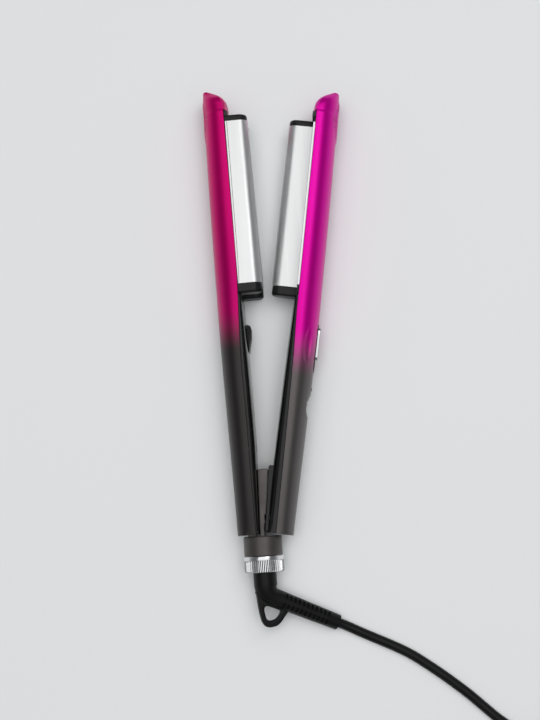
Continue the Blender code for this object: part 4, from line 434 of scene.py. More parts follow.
def place_camera():
    """The camera stands over the pixel that lies straight below it, a little tilted."""
    off_x, off_y = ((a - b) / FOCAL_PIXELS for a, b in zip(FOOT_PIXEL, PICTURE_CENTRE))
    up = -Vector((off_x, -off_y, -1.0)).normalized()
    image_up = Vector((0.0, 1.0, 0.0))
    along = (image_up - up * image_up.dot(up)).normalized()
    across = along.cross(up)
    c, s = cos(PICTURE_TURN), sin(PICTURE_TURN)
    turn = Matrix((across * c + along * s, along * c - across * s, up))
    data = bpy.data.cameras.new("camera")
    data.lens = FOCAL_PIXELS / PICTURE_HEIGHT * SENSOR
    data.sensor_width = SENSOR
    camera = added("camera", data)
    spot = Vector((FOOT.x + SHIFT.x, FOOT.y + SHIFT.y, CAMERA_LEVEL))
    camera.matrix_world = Matrix.Translation(spot) @ turn.to_4x4()
    bpy.context.scene.camera = camera


def smoothed(obj, degrees=35.0):
    obj.data.shade_smooth()
    obj.data.set_sharp_from_angle(angle=radians(degrees))
    return obj


def solid(points, faces, smooth=35.0):
    """A mesh object with its faces turned outward."""
    mesh = bpy.data.meshes.new("solid")
    mesh.from_pydata([tuple(p) for p in points], [], faces)
    work = bmesh.new()
    work.from_mesh(mesh)
    bmesh.ops.remove_doubles(work, verts=work.verts, dist=MERGE)
    bmesh.ops.recalc_face_normals(work, faces=work.faces)
    work.to_mesh(mesh)
    work.free()
    return smoothed(added("solid", mesh), smooth)


def loft(rings, loops=False, smooth=35.0):
    """Joins rings of equal count; the ends get caps, or meet each other where the rings loop."""
    n, m = len(rings), len(rings[0])
    faces = []
    for i in range(n if loops else n - 1):
        a, b = i * m, (i + 1) % n * m
        faces += [(a + j, a + (j + 1) % m, b + (j + 1) % m, b + j) for j in range(m)]
    if not loops:
        faces += [tuple(range(m)), tuple(range(n * m - m, n * m))]
    return solid([p for ring in rings for p in ring], faces, smooth)


def extrude(outline, place, low, high):
    return loft([[place(p, level) for p in outline] for level in (low, high)])


def circle(radius, sides):
    return [(radius * cos(a), radius * sin(a)) for a in (2 * pi * i / sides for i in range(sides))]


def turned(rows, place, sides):
    """A turned solid: each row gives a level on its axis and a radius."""
    return loft([[place(x, level, z) for x, z in circle(radius, sides)] for level, radius in rows])


def oval(half_length, half_width, steps=14):
    straight = half_length - half_width
    ends = [pi * i / steps - pi / 2 for i in range(steps + 1)]
    right = [(straight + half_width * cos(a), half_width * sin(a)) for a in ends]
    return right + [(-x, -z) for x, z in right]


def prisms(pairs):
    """Small prisms in one mesh, each given by its two end outlines."""
    points, faces = [], []
    for low, high in pairs:
        k, n = len(points), len(low)
        points += low + high
        faces += [tuple(range(k, k + n)), tuple(range(k + n, k + 2 * n))]
        faces += [(k + j, k + (j + 1) % n, k + n + (j + 1) % n, k + n + j) for j in range(n)]
    return solid(points, faces)


def changed(obj, kind, **settings):
    """Makes one modifier's result the object's mesh."""
    step = obj.modifiers.new("step", kind)
    for key, value in settings.items():
        setattr(step, key, value)
    result = bpy.data.meshes.new_from_object(obj.evaluated_get(bpy.context.evaluated_depsgraph_get()))
    obj.modifiers.clear()
    obj.data = result
    return obj


def cut(target, *others, operation="DIFFERENCE"):
    for other in others:
        changed(target, "BOOLEAN", object=other, operation=operation, solver="EXACT")
        bpy.data.objects.remove(other, do_unlink=True)
    return target


def join(target, *others):
    return cut(target, *others, operation="UNION")


def rounded(obj, width, segments, degrees=60.0):
    """Rounds the piece's sharp edges."""
    limit = {"limit_method": "ANGLE", "angle_limit": radians(degrees)}
    return smoothed(changed(obj, "BEVEL", width=width, segments=segments, miter_outer="MITER_ARC", **limit))


def through(points, step):
    """Points about a step apart on a smooth curve through the given ones."""
    p = [np.array(q, float) for q in points]
    p = [2 * p[0] - p[1], *p, 2 * p[-1] - p[-2]]
    fine = []
    for a, b, c, d in zip(p, p[1:], p[2:], p[3:]):
        for t in np.linspace(0, 1, 24, endpoint=False):
            bend = 2 * b + (c - a) * t + (2 * a - 5 * b + 4 * c - d) * t**2
            fine.append((bend + (3 * b - a - 3 * c + d) * t**3) / 2)
    fine = np.array([*fine, p[-2]])
    along = np.concatenate([[0], np.cumsum(np.linalg.norm(np.diff(fine, axis=0), axis=1))])
    at = np.linspace(0, along[-1], max(2, round(along[-1] / step) + 1))
    return np.stack([np.interp(at, along, fine[:, k]) for k in range(3)], axis=1)


def tube(line, radius, sides):
    """A closed tube along a line, its rings turned without twist."""
    line = np.array(line, float)
    tangents = np.gradient(line, axis=0)
    tangents /= np.linalg.norm(tangents, axis=1)[:, None]
    side = np.cross(tangents[0], (0.0, 0.0, 1.0))
    side /= np.linalg.norm(side)
    rings = []
    for spot, ahead in zip(line, tangents):
        side = side - ahead * side.dot(ahead)
        side /= np.linalg.norm(side)
        up = np.cross(side, ahead)
        rings.append([spot + side * x + up * z for x, z in circle(radius, sides)])
    return loft(rings)


@dataclass
class Arm:
    """One arm's outlines. Depth runs toward the other arm, across along Z, along to the tip."""

    name: str
    side: int
    axis_depth: float
    place: Matrix
    tail: float
    outer_rows: tuple
    rim_rows: tuple
    face_rows: tuple
    nose_rows: tuple
    jaw_start: float
    barrels: tuple
    crest_start: float
    crest_rise: float
    lift: float = 0.0

    def __post_init__(self):
        self.body = self.name + "_arm"
        self.jaw_end = self.jaw_start + JAW_LENGTH
        self.liner_front = self.jaw_start - CAP_LENGTH - 2 * GAP
        run = np.linspace(self.jaw_start, self.jaw_end, 36)
        self.lift = max(self.rim(s) + JAW_BASE_RISE - self.floor(s) for s in run)

    def point(self, along, depth, across):
        return self.place @ Vector((self.side * (depth - self.axis_depth), along, across))

    def outer(self, along):
        return -SHELL_DEPTH * smooth_value(self.outer_rows, along / ARM_LENGTH)

    def rim(self, along):
        return -HANDLE_RIM_DEPTH * smooth_value(self.rim_rows, along / ARM_LENGTH)

    def face(self, along):
        return -FACE_DEPTH * smooth_value(self.face_rows, along / ARM_LENGTH)

    def half_width(self, along):
        return ARM_HALF_WIDTH * smooth_value(WIDTH, along / ARM_LENGTH)

    def crest(self, along):
        return self.crest_start + self.crest_rise * (along - self.jaw_start) / JAW_LENGTH

    def floor(self, along):
        start, end = self.rim(self.jaw_start), self.rim(self.jaw_end)
        return start + (end - start) * ((along - self.jaw_start) / JAW_LENGTH) + JAW_BASE_RISE + self.lift


def power(value, exponent):
    return copysign(abs(value) ** exponent, value)


def half_angles(reach, roundness, count):
    """Angles of a half outline, closer together near its two ends."""
    near = [0.0] + [asin(min(1.0, d * MM / max(reach, MM)) ** (roundness / 2)) for d in END_STEPS]
    first = asin(min(1.0, (END_REACH / max(reach, END_LEAST)) ** (roundness / 2)))
    return near + list(np.linspace(first, pi - first, count)) + [pi - a for a in reversed(near)]


def section(
    arm, along, centre, outer, inner, half_width, roundness, outer_count, inner_count, field=0.0, step=0.0,
):
    """A closed ring made of two rounded halves; the inner half can step in a little from the outer one."""
    ring = []
    for a in half_angles(outer, roundness, outer_count) if outer > 0 else (0.0, pi):
        across = half_width * power(cos(a), 2 / roundness)
        lens = 1 - (across / FIELD_HALF_WIDTH) ** 2 - ((along - FIELD_CENTRE) / FIELD_HALF_LENGTH) ** 2
        depth = centre - outer * abs(sin(a)) ** (2 / roundness) - field * min(1.0, 3 * max(0.0, lens))
        ring.append(arm.point(along, depth, across))
    for i in range(1, inner_count):
        a = pi * i / inner_count
        across = -(half_width - step) * power(cos(a), 2 / roundness)
        ring.append(arm.point(along, centre + inner * abs(sin(a)) ** (2 / roundness), across))
    return ring


def prism(arm, outline, low, high):
    """A prism across an arm; its outline gives places along the arm and depths."""
    return extrude(outline, lambda p, z: arm.point(p[0], p[1], z), low, high)


def block(arm, along, depth, across):
    """A block in an arm's frame, from its low and high place on each axis."""
    outline = [(along[0], depth[0]), (along[1], depth[0]), (along[1], depth[1]), (along[0], depth[1])]
    return prism(arm, outline, *across)


def stud(arm, middle, outline, low, high):
    """A prism through an arm's wall; its outline lies round a place along the arm."""
    return extrude(outline, lambda p, d: arm.point(middle + p[0], d, p[1]), low, high)


def stations(start, end, step):
    return list(np.linspace(start, end, max(2, round((end - start) / step) + 1)))


def shell_body(arm):
    """Outer wall of an arm: a trough with a closed nose and a raised lens-shaped field near its tip."""
    outside, inside = [], []
    counts = (SHELL_ROUNDNESS, 40, 24, FIELD_HEIGHT)
    field_start = FIELD_CENTRE - FIELD_HALF_LENGTH - OVERRUN
    for s in stations(-arm.tail, field_start, RIM_STEP) + stations(field_start, NOSE_ROOT, FIELD_STEP)[1:]:
        centre = arm.rim(s)
        outside.append(section(arm, s, centre, centre - arm.outer(s), 0.0, arm.half_width(s), *counts))
    for step in np.linspace(0.015, 1.0, 30):
        crease, outer, sole, wide = (smooth_value(arm.nose_rows, step, k) for k in (1, 2, 3, 4))
        outside.append(section(
            arm, NOSE_ROOT + step * NOSE_LENGTH, -SHELL_DEPTH * crease, SHELL_DEPTH * (outer - crease),
            SHELL_DEPTH * (crease - sole), ARM_HALF_WIDTH * wide, *counts, SOLE_STEP,
        ))
    for s in stations(-arm.tail + SHELL_WALL, NOSE_ROOT - SHELL_WALL, COARSE_STEP):
        centre, half = arm.rim(s), arm.half_width(s) - SHELL_WALL
        ring = section(arm, s, centre, centre - arm.outer(s) - SHELL_WALL, 0.0, half, SHELL_ROUNDNESS, 24, 1)
        inside.append(ring + [arm.point(s, centre + NOSE_CLEARANCE, z) for z in (-half, half)])
    return cut(loft(outside), loft(inside))


def liner_body(arm):
    """Inner cover of a handle: a shallow trough that closes the shell."""
    outside, inside = [], []
    for s in stations(-arm.tail, arm.liner_front, RIM_STEP):
        rise, half = arm.face(s) - arm.rim(s) - GAP, arm.half_width(s)
        outside.append(section(arm, s, arm.rim(s) + GAP, 0.0, rise, half, LINER_ROUNDNESS, 1, 32))
    for s in stations(LINER_HOLLOW_START, arm.liner_front - LINER_WALL, COARSE_STEP):
        low, half = arm.rim(s) + GAP - OVERRUN, arm.half_width(s) - LINER_WALL
        rise = arm.face(s) - arm.rim(s) - GAP - LINER_WALL
        ring = section(arm, s, arm.rim(s) + GAP, 0.0, rise, half, LINER_ROUNDNESS, 1, 16)
        inside.append([arm.point(s, low, half), arm.point(s, low, -half)] + ring[2:])
    return cut(loft(outside), loft(inside))


def barrel_top(centre, spring, half, steps):
    """The round top of a barrel."""
    turns = [pi * i / steps for i in range(steps + 1)]
    return [(centre - half * cos(a), spring + half * sin(a)) for a in turns]


def jaw_sheet(arm):
    """A jaw bent from one sheet: flat base and round-topped barrels, its bends rounded."""
    one = abs(arm.barrels[0]) < GAP

    def bend(s, inset):
        low, half, fillet = arm.floor(s) - inset, BARREL_HALF_WIDTH - inset, BEND_RADIUS + inset

        def foot(across, sign):
            """The bend at a barrel's foot, where the base turns up into the flank."""
            turns = [pi / 2 * i / 5 for i in range(6)]
            return [(across + sign * fillet * (1 - sin(a)), low + fillet * (1 - cos(a))) for a in turns]

        line = []
        for centre in arm.barrels:
            if centre - BARREL_HALF_WIDTH > -JAW_HALF_WIDTH + GAP:
                line += foot(centre - half, -1)
            line += barrel_top(centre, arm.crest(s) - BARREL_HALF_WIDTH, half, 36)
            if centre + BARREL_HALF_WIDTH < JAW_HALF_WIDTH - GAP:
                line += foot(centre + half, 1)[::-1]
        edge, end = (JAW_HALF_WIDTH, low) if one else (JAW_HALF_WIDTH - inset, arm.floor(s) - JAW_WALL)
        return [(-edge, end), *line, (edge, end)]

    return loft([
        [arm.point(s, depth, across) for across, depth in bend(s, 0.0) + bend(s, JAW_WALL)[::-1]]
        for s in stations(arm.jaw_start, arm.jaw_end, COARSE_STEP)
    ])


def jaw_cap(arm, inner_end, length):
    """Moulded cap over the barrels' open ends, its outer corners rounded off."""

    def ring(s, inset):
        floor = arm.floor(inner_end) - min(inset, JAW_WALL / 2)
        half, edge = BARREL_HALF_WIDTH - CAP_INSET - inset, JAW_HALF_WIDTH - inset
        line = []
        for centre in arm.barrels:
            if centre > -GAP:
                line.append((centre - half, floor))
            line += barrel_top(centre, arm.crest(inner_end) - CAP_INSET - inset - half, half, 28)
            if centre < GAP:
                line.append((centre + half, floor))
        if abs(arm.barrels[0]) < GAP:
            line = [(-edge, floor), *line, (edge, floor)]
        foot = arm.rim(inner_end) + GAP
        return [arm.point(s, depth, across) for across, depth in [(-edge, foot), *line, (edge, foot)]]

    rings = [ring(inner_end, 0.0)]
    for turn in (i / 8 * pi / 2 for i in range(9)):
        s = inner_end + length - copysign(1.0, length) * CAP_ROUND * (1 - sin(turn))
        rings.append(ring(s, CAP_ROUND * (1 - cos(turn))))
    return loft(rings, smooth=50.0)


def finger_ridge(arm):
    """Rubber wedge on the left liner, steep toward the tip, crowned across."""
    crown = [(x, 1 - 0.2 * abs(x) ** 4) for x in (-0.9, -0.7, -0.35, 0.0, 0.35, 0.7, 0.9)]
    crown = [(-1.0, 0.0), (-1.0, RIDGE_SHOULDER), *crown, (1.0, RIDGE_SHOULDER), (1.0, 0.0)]
    rings = []
    for share in np.linspace(0.0, 1.0, 25):
        s = RIDGE_START + RIDGE_LENGTH * share
        face, rise = arm.face(s) + GAP, RIDGE_HEIGHT * smooth_value(RIDGE, share)
        rings.append([arm.point(s, face + rise * h, RIDGE_HALF_WIDTH * x) for x, h in crown])
    return rounded(loft(rings), RIDGE_EDGE, 3, 50.0)


def collar_point(x, along, z):
    return SHIFT + Vector((x, along, z))


def hinge_housing(left):
    """Collar, tongue and block in one moulding, with two eyes for the hinge pin."""

    def at_pin(outline, reach):
        return extrude(outline, lambda p, z: collar_point(PIN.x + p[0], PIN.y + p[1], z), -reach, reach)

    half, edge, rim = HOUSING_HALF_WIDTH, COLLAR_EDGE, COLLAR_RADIUS - COLLAR_EDGE
    rows = [(0.0, COLLAR_RADIUS - COLLAR_TOP_INSET)]
    rows += [(edge * cos(a) - edge, rim + edge * sin(a)) for a in (pi / 2 * i / 5 for i in range(1, 6))]
    rows += [
        (COLLAR_CHAMFER - COLLAR_LENGTH, COLLAR_RADIUS), (-COLLAR_LENGTH, COLLAR_RADIUS - COLLAR_CHAMFER),
        (-COLLAR_LENGTH, COLLAR_BORE_RADIUS), (COLLAR_BORE_DEPTH - COLLAR_LENGTH, COLLAR_BORE_RADIUS),
    ]
    line = [(BLOCK_TOP * s, BLOCK_HEIGHT * h) for s, h in BLOCK]
    back = [(s, min(left.face(s) + GAP, h - OVERRUN)) for s, h in reversed(line)]
    foot = -DATUM.y - OVERRUN
    r = EYE_RADIUS
    body = join(
        turned(rows, collar_point, 96),
        rounded(prism(left, line + back, -half, half), BLOCK_EDGE, 4, 12.0),
        block(
            left, (foot, foot + SPIGOT_LENGTH), (-SPIGOT_FAR, -SPIGOT_NEAR),
            (-SPIGOT_HALF_WIDTH, SPIGOT_HALF_WIDTH),
        ),
        at_pin(circle(r, 40), half),
        at_pin([(-r, -r / 2), (0, -r / 2), (0, r / 2), (-r, r / 2)], half),
    )
    seam = BLOCK_TOP - SEAM_BELOW_TOP
    seam = (seam - SEAM_HALF_WIDTH, seam + SEAM_HALF_WIDTH)
    groove = (GROOVE_ALONG - GROOVE_HALF_WIDTH, GROOVE_ALONG + GROOVE_HALF_WIDTH)
    reach, end = EYE_RADIUS + 2 * GAP, SPRING_LEG + 4 * GAP
    low = -SPRING_RADIUS - SPRING_WIRE_RADIUS - 2 * GAP
    return smoothed(cut(
        body,
        block(left, seam, (-BLOCK_HEIGHT, 2 * BLOCK_HEIGHT), (half - SEAM_DEPTH, half + OVERRUN)),
        at_pin(circle(reach, 40), SPRING_POCKET_HALF_WIDTH),
        at_pin([(low, 0.0), (reach, 0.0), (reach, end), (low, end)], SPRING_POCKET_HALF_WIDTH),
        at_pin(circle(PIN_RADIUS + GAP, 32), half + OVERRUN),
        block(left, groove, (BLOCK_HEIGHT * 0.4, BLOCK_HEIGHT * 1.2), (-half - OVERRUN, half + OVERRUN)),
    ))


def fork(arm, liner):
    """Two cheeks on the right liner that straddle the housing, with a bar that the spring pushes on."""
    near, far = FORK_HALF_GAP, FORK_HALF_GAP + CHEEK_THICKNESS
    line = [(CHEEK_TOP * s, CHEEK_REACH * h) for s, h in CHEEK]
    line += [(CHEEK_TOP, -CHEEK_DEPTH), (line[0][0], -CHEEK_DEPTH)]
    for sign in (-1, 1):
        cheek = prism(arm, line, *sorted((sign * (near - OVERRUN), sign * far)))
        join(liner, rounded(cheek, CHEEK_EDGE, 3, 20.0))
    reach = (-SHELL_DEPTH, FACE_DEPTH + CHEEK_REACH)
    cut(liner, block(arm, (-arm.tail - OVERRUN, CHEEK_TOP), reach, (-near, near)))
    top = -PIN_INSET - SPRING_RADIUS - SPRING_WIRE_RADIUS - GAP
    low = top - SEAT_THICKNESS
    run = (SEAT_ALONG - OVERRUN, SEAT_ALONG + SEAT_LENGTH + OVERRUN)
    for sign in (-1, 1):
        join(liner, block(arm, run, (low - GAP, OVERRUN - CHEEK_DEPTH), sorted((sign * near, sign * far))))
    join(liner, block(arm, (SEAT_ALONG, SEAT_ALONG + SEAT_LENGTH), (low, top), (GAP - far, far - GAP)))
    half = PIN_HALF_LENGTH + OVERRUN
    cut(liner, extrude(circle(PIN_RADIUS + GAP, 32), lambda p, z: arm.place @ Vector((*p, z)), -half, half))


def lock_ring():
    """Chromed ring: a smooth band above, leaning knurls below."""
    top = -COLLAR_LENGTH - GAP
    low, band = top - RING_LENGTH, top - RING_SMOOTH_LENGTH
    r, edge, sides = RING_RADIUS, RING_EDGE, KNURL_COUNT * KNURL_SIDES

    def ring(along, radius, groove_shade=0.0):
        lean = KNURL_TWIST * (along - low) / RING_LENGTH
        points = []
        for i in range(sides):
            a = 2 * pi * i / sides - lean
            wave = abs(i % KNURL_SIDES / KNURL_SIDES - 0.5) / KNURL_SHARE
            reach = radius - KNURL_DEPTH * max(0.0, 1 - wave) ** 0.8 * groove_shade
            points.append(collar_point(reach * cos(a), along, reach * sin(a)))
        return points

    rings = [ring(top, RING_BORE_RADIUS), ring(top, r - edge)]
    rings += [ring(top - edge * (1 - cos(a)), r - edge * (1 - sin(a))) for a in (0.5, 1.0, 1.57)]
    rings += [ring(band - fall, r - inset, share) for fall, inset, share in RING_WAIST]
    rings += [ring(along, r, 1.0) for along in np.linspace(band - KNURL_START, low + KNURL_END, 9)]
    rings += [ring(low + rise, r - inset, share) for rise, inset, share in RING_FOOT]
    return loft([*rings, ring(low, RING_BORE_RADIUS)], loops=True, smooth=40.0)


def boot_point(u, v, w):
    """A place in the boot's plane: u out from the collar's axis, v along it, w square to the plane."""
    c, s = cos(BOOT_ROLL), sin(BOOT_ROLL)
    return SHIFT + Vector((u * c + w * s, v, w * c - u * s))


def boot_line(steps):
    """Middle of the boot from the neck to its end: rows of (u, v, direction, radius)."""
    drop_angle = atan2(BOOT_ARM_DROP, BOOT_ARM_REACH)
    bend = pi / 2 - drop_angle
    start_v = BOOT_ELBOW_RADIUS * tan(bend / 2) - BOOT_ELBOW_DROP
    rows = [(0.0, v, -pi / 2, BOOT_NECK_RADIUS) for v in (-COLLAR_LENGTH, start_v)]
    for share in (i / steps for i in range(1, steps + 1)):
        a = bend * share
        radius = BOOT_NECK_RADIUS + (BOOT_ARM_ROOT_RADIUS - BOOT_NECK_RADIUS) * share
        u, v = BOOT_ELBOW_RADIUS * (1 - cos(a)), start_v - BOOT_ELBOW_RADIUS * sin(a)
        rows.append((u, v, a - pi / 2, radius))
    end_v = -BOOT_ELBOW_DROP - BOOT_ARM_DROP
    for share in np.linspace(0.1, 1.0, 10):
        row = (u + (BOOT_ARM_REACH - u) * share, v + (end_v - v) * share, -drop_angle)
        rows.append((*row, radius + (BOOT_END_RADIUS - radius) * share))
    return rows


def loop_plate(shares, half):
    """A flat plate in the boot's plane, with a smooth closed outline."""
    line = [(LOOP_WIDTH * a, LOOP_DROP * b - BOOT_ELBOW_DROP) for a, b in shares]
    dense = through([(a, b, 0.0) for a, b in line + line[:3]], LOOP_STEP)
    off = [(p[0] - line[1][0]) ** 2 + (p[1] - line[1][1]) ** 2 for p in dense]
    first = min(range(len(dense) // 3), key=off.__getitem__)
    last = min([i for i in range(5, len(dense)) if off[i] < MM**2][-3:], key=off.__getitem__)
    return extrude([tuple(p[:2]) for p in dense[first:last]], lambda p, w: boot_point(*p, w), -half, half)


def swivel_boot():
    """Rubber elbow with a hanging loop, its arm slotted in four rows."""
    lines = boot_line(BOOT_ELBOW_STEPS)
    body = loft([
        [boot_point(u - sin(heading) * a, v + cos(heading) * a, b) for a, b in circle(radius, 48)]
        for u, v, heading, radius in lines
    ])
    half = LOOP_HALF_THICKNESS
    loop = cut(loop_plate(LOOP_OUTER, half), loop_plate(LOOP_HOLE, half + OVERRUN))
    join(body, rounded(loop, LOOP_EDGE, 4, 50.0))
    u, v, heading, end_radius = lines[-1]
    start_u, start_v, _, start_radius = lines[BOOT_ELBOW_STEPS + 1]
    along_u, along_v = cos(heading), sin(heading)
    length = hypot(u - start_u, v - start_v)
    root = hypot(start_u, start_v + BOOT_ELBOW_DROP)

    def slot_end(at, turn, out):
        """One end of a slot: an oval square to a line that leaves the arm at a turn round it."""
        radius = start_radius + (end_radius - start_radius) * at / length + out
        points = []
        for side, step in oval(SLOT_HALF_SPAN, SLOT_LENGTH / 2, 5):
            a, b = radius * cos(turn) - side * sin(turn), radius * sin(turn) + side * cos(turn)
            ahead = at + step
            u, v = start_u + along_u * ahead - along_v * a, start_v + along_v * ahead + along_u * a
            points.append(boot_point(u, v, b))
        return points

    slots = []
    for row in range(4):
        turn = SLOT_SPREAD * (1 if row % 2 else -1) + pi * (row // 2) + pi / 2
        for i in range(SLOT_COUNT):
            at = SLOT_FIRST + SLOT_PITCH * i - root
            slots.append((slot_end(at, turn, -SLOT_DEPTH), slot_end(at, turn, OVERRUN)))
    return smoothed(cut(body, prisms(slots)), 38.0)


def slider_levels(arm):
    """Top and bottom of the slider, and the bezel's inner end."""
    top = arm.outer(SLIDER_MIDDLE) - SLIDER_PROUD
    bottom = top + SLIDER_THICKNESS
    return top, bottom, bottom + GAP + BEZEL_FLOOR


def pocket(arm, margin, low, high):
    """An oval prism round the slider's whole run."""
    return stud(arm, POCKET_MIDDLE, oval(POCKET_HALF_LENGTH + margin, SLIDER_HALF_WIDTH + margin), low, high)


def slider_bezel(arm):
    """Slotted tray in the shell's wall that the slider runs in."""
    top, bottom, low = slider_levels(arm)
    rim = top + SLIDER_PROUD - BEZEL_PROUD
    body = rounded(pocket(arm, GAP + BEZEL_MARGIN, rim, low), BEZEL_EDGE, 3)
    run = (SLIDER_MIDDLE - SLIDER_TRAVEL - STEM_HALF_LENGTH - GAP, SLIDER_MIDDLE + STEM_HALF_LENGTH + GAP)
    reach = STEM_HALF_WIDTH + GAP
    slot = block(arm, run, (bottom - OVERRUN, low + OVERRUN), (-reach, reach))
    return smoothed(cut(body, pocket(arm, GAP, rim - OVERRUN, bottom + GAP), slot))


def mode_slider(arm):
    """Sliding button: ridged for the thumb, smooth at its front, with a stem through the bezel's floor."""
    top, bottom, low = slider_levels(arm)
    edge = SLIDER_EDGE
    levels = [(bottom, 0.0)]
    levels += [(top + edge * (1 - sin(a)), edge * (1 - cos(a))) for a in np.linspace(0.0, pi / 2, 5)]
    rings = []
    for depth, inset in levels:
        outline = oval(SLIDER_LENGTH / 2 - inset, SLIDER_HALF_WIDTH - inset, 20)
        rings.append([arm.point(SLIDER_MIDDLE + s, depth, z) for s, z in outline])
    reach = SLIDER_HALF_WIDTH + OVERRUN
    half = RIDGE_PITCH / 2 - SLIDER_RIDGE_DEPTH / 3
    grooves = []
    for i in range(RIDGE_COUNT):
        s = SLIDER_FRONT - SLIDER_SMOOTH_END - RIDGE_PITCH * i
        notch = [(s - half, top - OVERRUN / 2), (s + half, top - OVERRUN / 2), (s, top + SLIDER_RIDGE_DEPTH)]
        grooves.append([[arm.point(*p, z) for p in notch] for z in (-reach, reach)])
    run = (SLIDER_MIDDLE - STEM_HALF_LENGTH, SLIDER_MIDDLE + STEM_HALF_LENGTH)
    stem = block(arm, run, (bottom - OVERRUN, low), (-STEM_HALF_WIDTH, STEM_HALF_WIDTH))
    return smoothed(join(cut(loft(rings), prisms(grooves)), stem), 25.0)


def thumb_scoop(arm, side):
    """Ellipsoid that hollows the shell beside the slider."""
    tilt_out, tilt_up = sin(SCOOP_TILT), cos(SCOOP_TILT)
    lift, thick = SCOOP_DEPTH, 2 * SCOOP_DEPTH
    spread = 1 / sqrt(1 - (lift / thick) ** 2)
    rings = []
    for a in (pi * i / 36 for i in range(1, 36)):
        ring = []
        for h, n in circle(1.0, 48):
            tangent = SCOOP_HALF_HEIGHT * spread * sin(a) * h
            normal = lift + thick * sin(a) * n
            depth = -SCOOP_LEVEL - normal * tilt_out + tangent * tilt_up
            across = SCOOP_ACROSS + normal * tilt_up + tangent * tilt_out
            ring.append(arm.point(SCOOP_CENTRE - SCOOP_HALF_LENGTH * spread * cos(a), depth, side * across))
        rings.append(ring)
    return loft(rings)


def dish_levels(arm):
    """Depths at the power button: the wall, the dish's bottom, the boss's inner end and the flange."""
    wall = arm.outer(BUTTON_CENTRE)
    boss = wall + DISH_BOSS_DEPTH
    return wall, wall + DISH_DEPTH, boss, boss + GAP + BUTTON_FLANGE_HEIGHT


def at_button(arm, rows, sides):
    """A turned solid on the power button's axis."""
    return turned(rows, lambda s, depth, z: arm.point(BUTTON_CENTRE + s, depth, z), sides)


def cap_radius(half_width, depth):
    """Radius of a round hollow, from its half width and its depth."""
    return (half_width**2 + depth**2) / (2 * depth)


def button_dish(arm, shell):
    """Boss inside the shell with a round dish outside, bored for the power button."""
    wall, bottom, boss, _ = dish_levels(arm)
    join(shell, stud(arm, BUTTON_CENTRE, circle(DISH_BOSS_RADIUS, 40), wall + SHELL_WALL / 2, boss))
    radius = cap_radius(DISH_HALF_WIDTH, DISH_DEPTH)
    rows = []
    for r in (DISH_HALF_WIDTH * share for share in np.linspace(1.25, 0.1, 14)):
        rows.append((bottom - (radius - sqrt(radius**2 - r**2)), r))
    bore = stud(arm, BUTTON_CENTRE, circle(BUTTON_RADIUS + GAP, 56), wall - OVERRUN, boss + OVERRUN)
    cut(shell, at_button(arm, rows, 72), bore)


def saddle(arm):
    """Shallow hollow across the wall, in which the power button's dish lies."""
    radius = cap_radius(SADDLE_HALF_LENGTH, SADDLE_DEPTH)
    middle = arm.outer(BUTTON_CENTRE) + SADDLE_DEPTH - radius
    outline = [(BUTTON_CENTRE + s, middle + depth) for s, depth in circle(radius, 160)]
    return prism(arm, outline, -SADDLE_HALF_WIDTH, SADDLE_HALF_WIDTH)


def power_button(arm):
    """Round metal button with a shallow dished top."""
    _, bottom, boss, flange = dish_levels(arm)
    top, edge, flat = bottom - BUTTON_PROUD, SLIDER_EDGE, BUTTON_RADIUS - SLIDER_EDGE
    rows = [(top + BUTTON_DIP * (1 - share**2), flat * share) for share in (0.15, 0.45, 0.7)]
    for a in np.linspace(0.0, pi / 2, 5):
        rows.append((top + edge * (1 - cos(a)), BUTTON_RADIUS - edge * (1 - sin(a))))
    wide = BUTTON_RADIUS + BUTTON_FLANGE
    return at_button(arm, rows + [(boss + GAP, BUTTON_RADIUS), (boss + GAP, wide), (flange, wide)], 56)


def sink(arm, liner, along):
    """The recess that a liner screw's head sits in."""
    face = arm.face(along)
    low = face - SCREW_SINK - SCREW_HEAD
    seat = low - LINER_WALL
    join(liner, stud(arm, along, circle(SCREW_HEAD_RADIUS + LINER_WALL, 40), seat, face - LINER_WALL / 2))
    cut(
        liner,
        stud(arm, along, circle(SCREW_HEAD_RADIUS + GAP, 40), low - GAP, face + OVERRUN),
        stud(arm, along, circle(SCREW_RADIUS + GAP, 40), seat - OVERRUN, face),
    )


def screw(arm, along):
    """A pan-head screw with a cross recess."""
    top = arm.face(along) - SCREW_SINK
    low = top - SCREW_HEAD
    head = rounded(stud(arm, along, circle(SCREW_HEAD_RADIUS, 32), low, top), SCREW_EDGE, 3)
    join(head, stud(arm, along, circle(SCREW_RADIUS, 24), low - SCREW_LENGTH, top - SCREW_HEAD / 2))
    reach, half, deep = CROSS_REACH, CROSS_HALF_WIDTH, (top - CROSS_DEPTH, top + OVERRUN)
    for a, b in ((reach, half), (half, reach)):
        cut(head, block(arm, (along - a, along + a), deep, (-b, b)))
    return smoothed(head)


def coil_points():
    """Two flat layers wound clockwise: inward, up at the middle, then outward again, with straight ends."""
    points = [(COIL_X - COIL_END_RUN, COIL_Y + COIL_OUTER_RADIUS, COIL_LEVEL)]
    for t in (i / COIL_STEPS for i in range(round(COIL_TURNS * COIL_STEPS) + 1)):
        a = pi / 2 - 2 * pi * t
        climb = min(1.0, max(0.0, (t - COIL_CLIMB_START) / (COIL_CLIMB_END - COIL_CLIMB_START)))
        if t < COIL_CLIMB_START:
            r = COIL_OUTER_RADIUS - COIL_PITCH * t
        else:
            r = COIL_INNER_RADIUS + COIL_PITCH * max(0.0, t - COIL_CLIMB_END)
            r -= COIL_CLIMB_DIP * sin(pi * climb)
        points.append((COIL_X + r * cos(a), COIL_Y + r * sin(a), COIL_LEVEL + COIL_LAYER_RISE * climb))
    x, y, z = points[-1]
    return [*points, (x - COIL_END_RUN, y, z)]


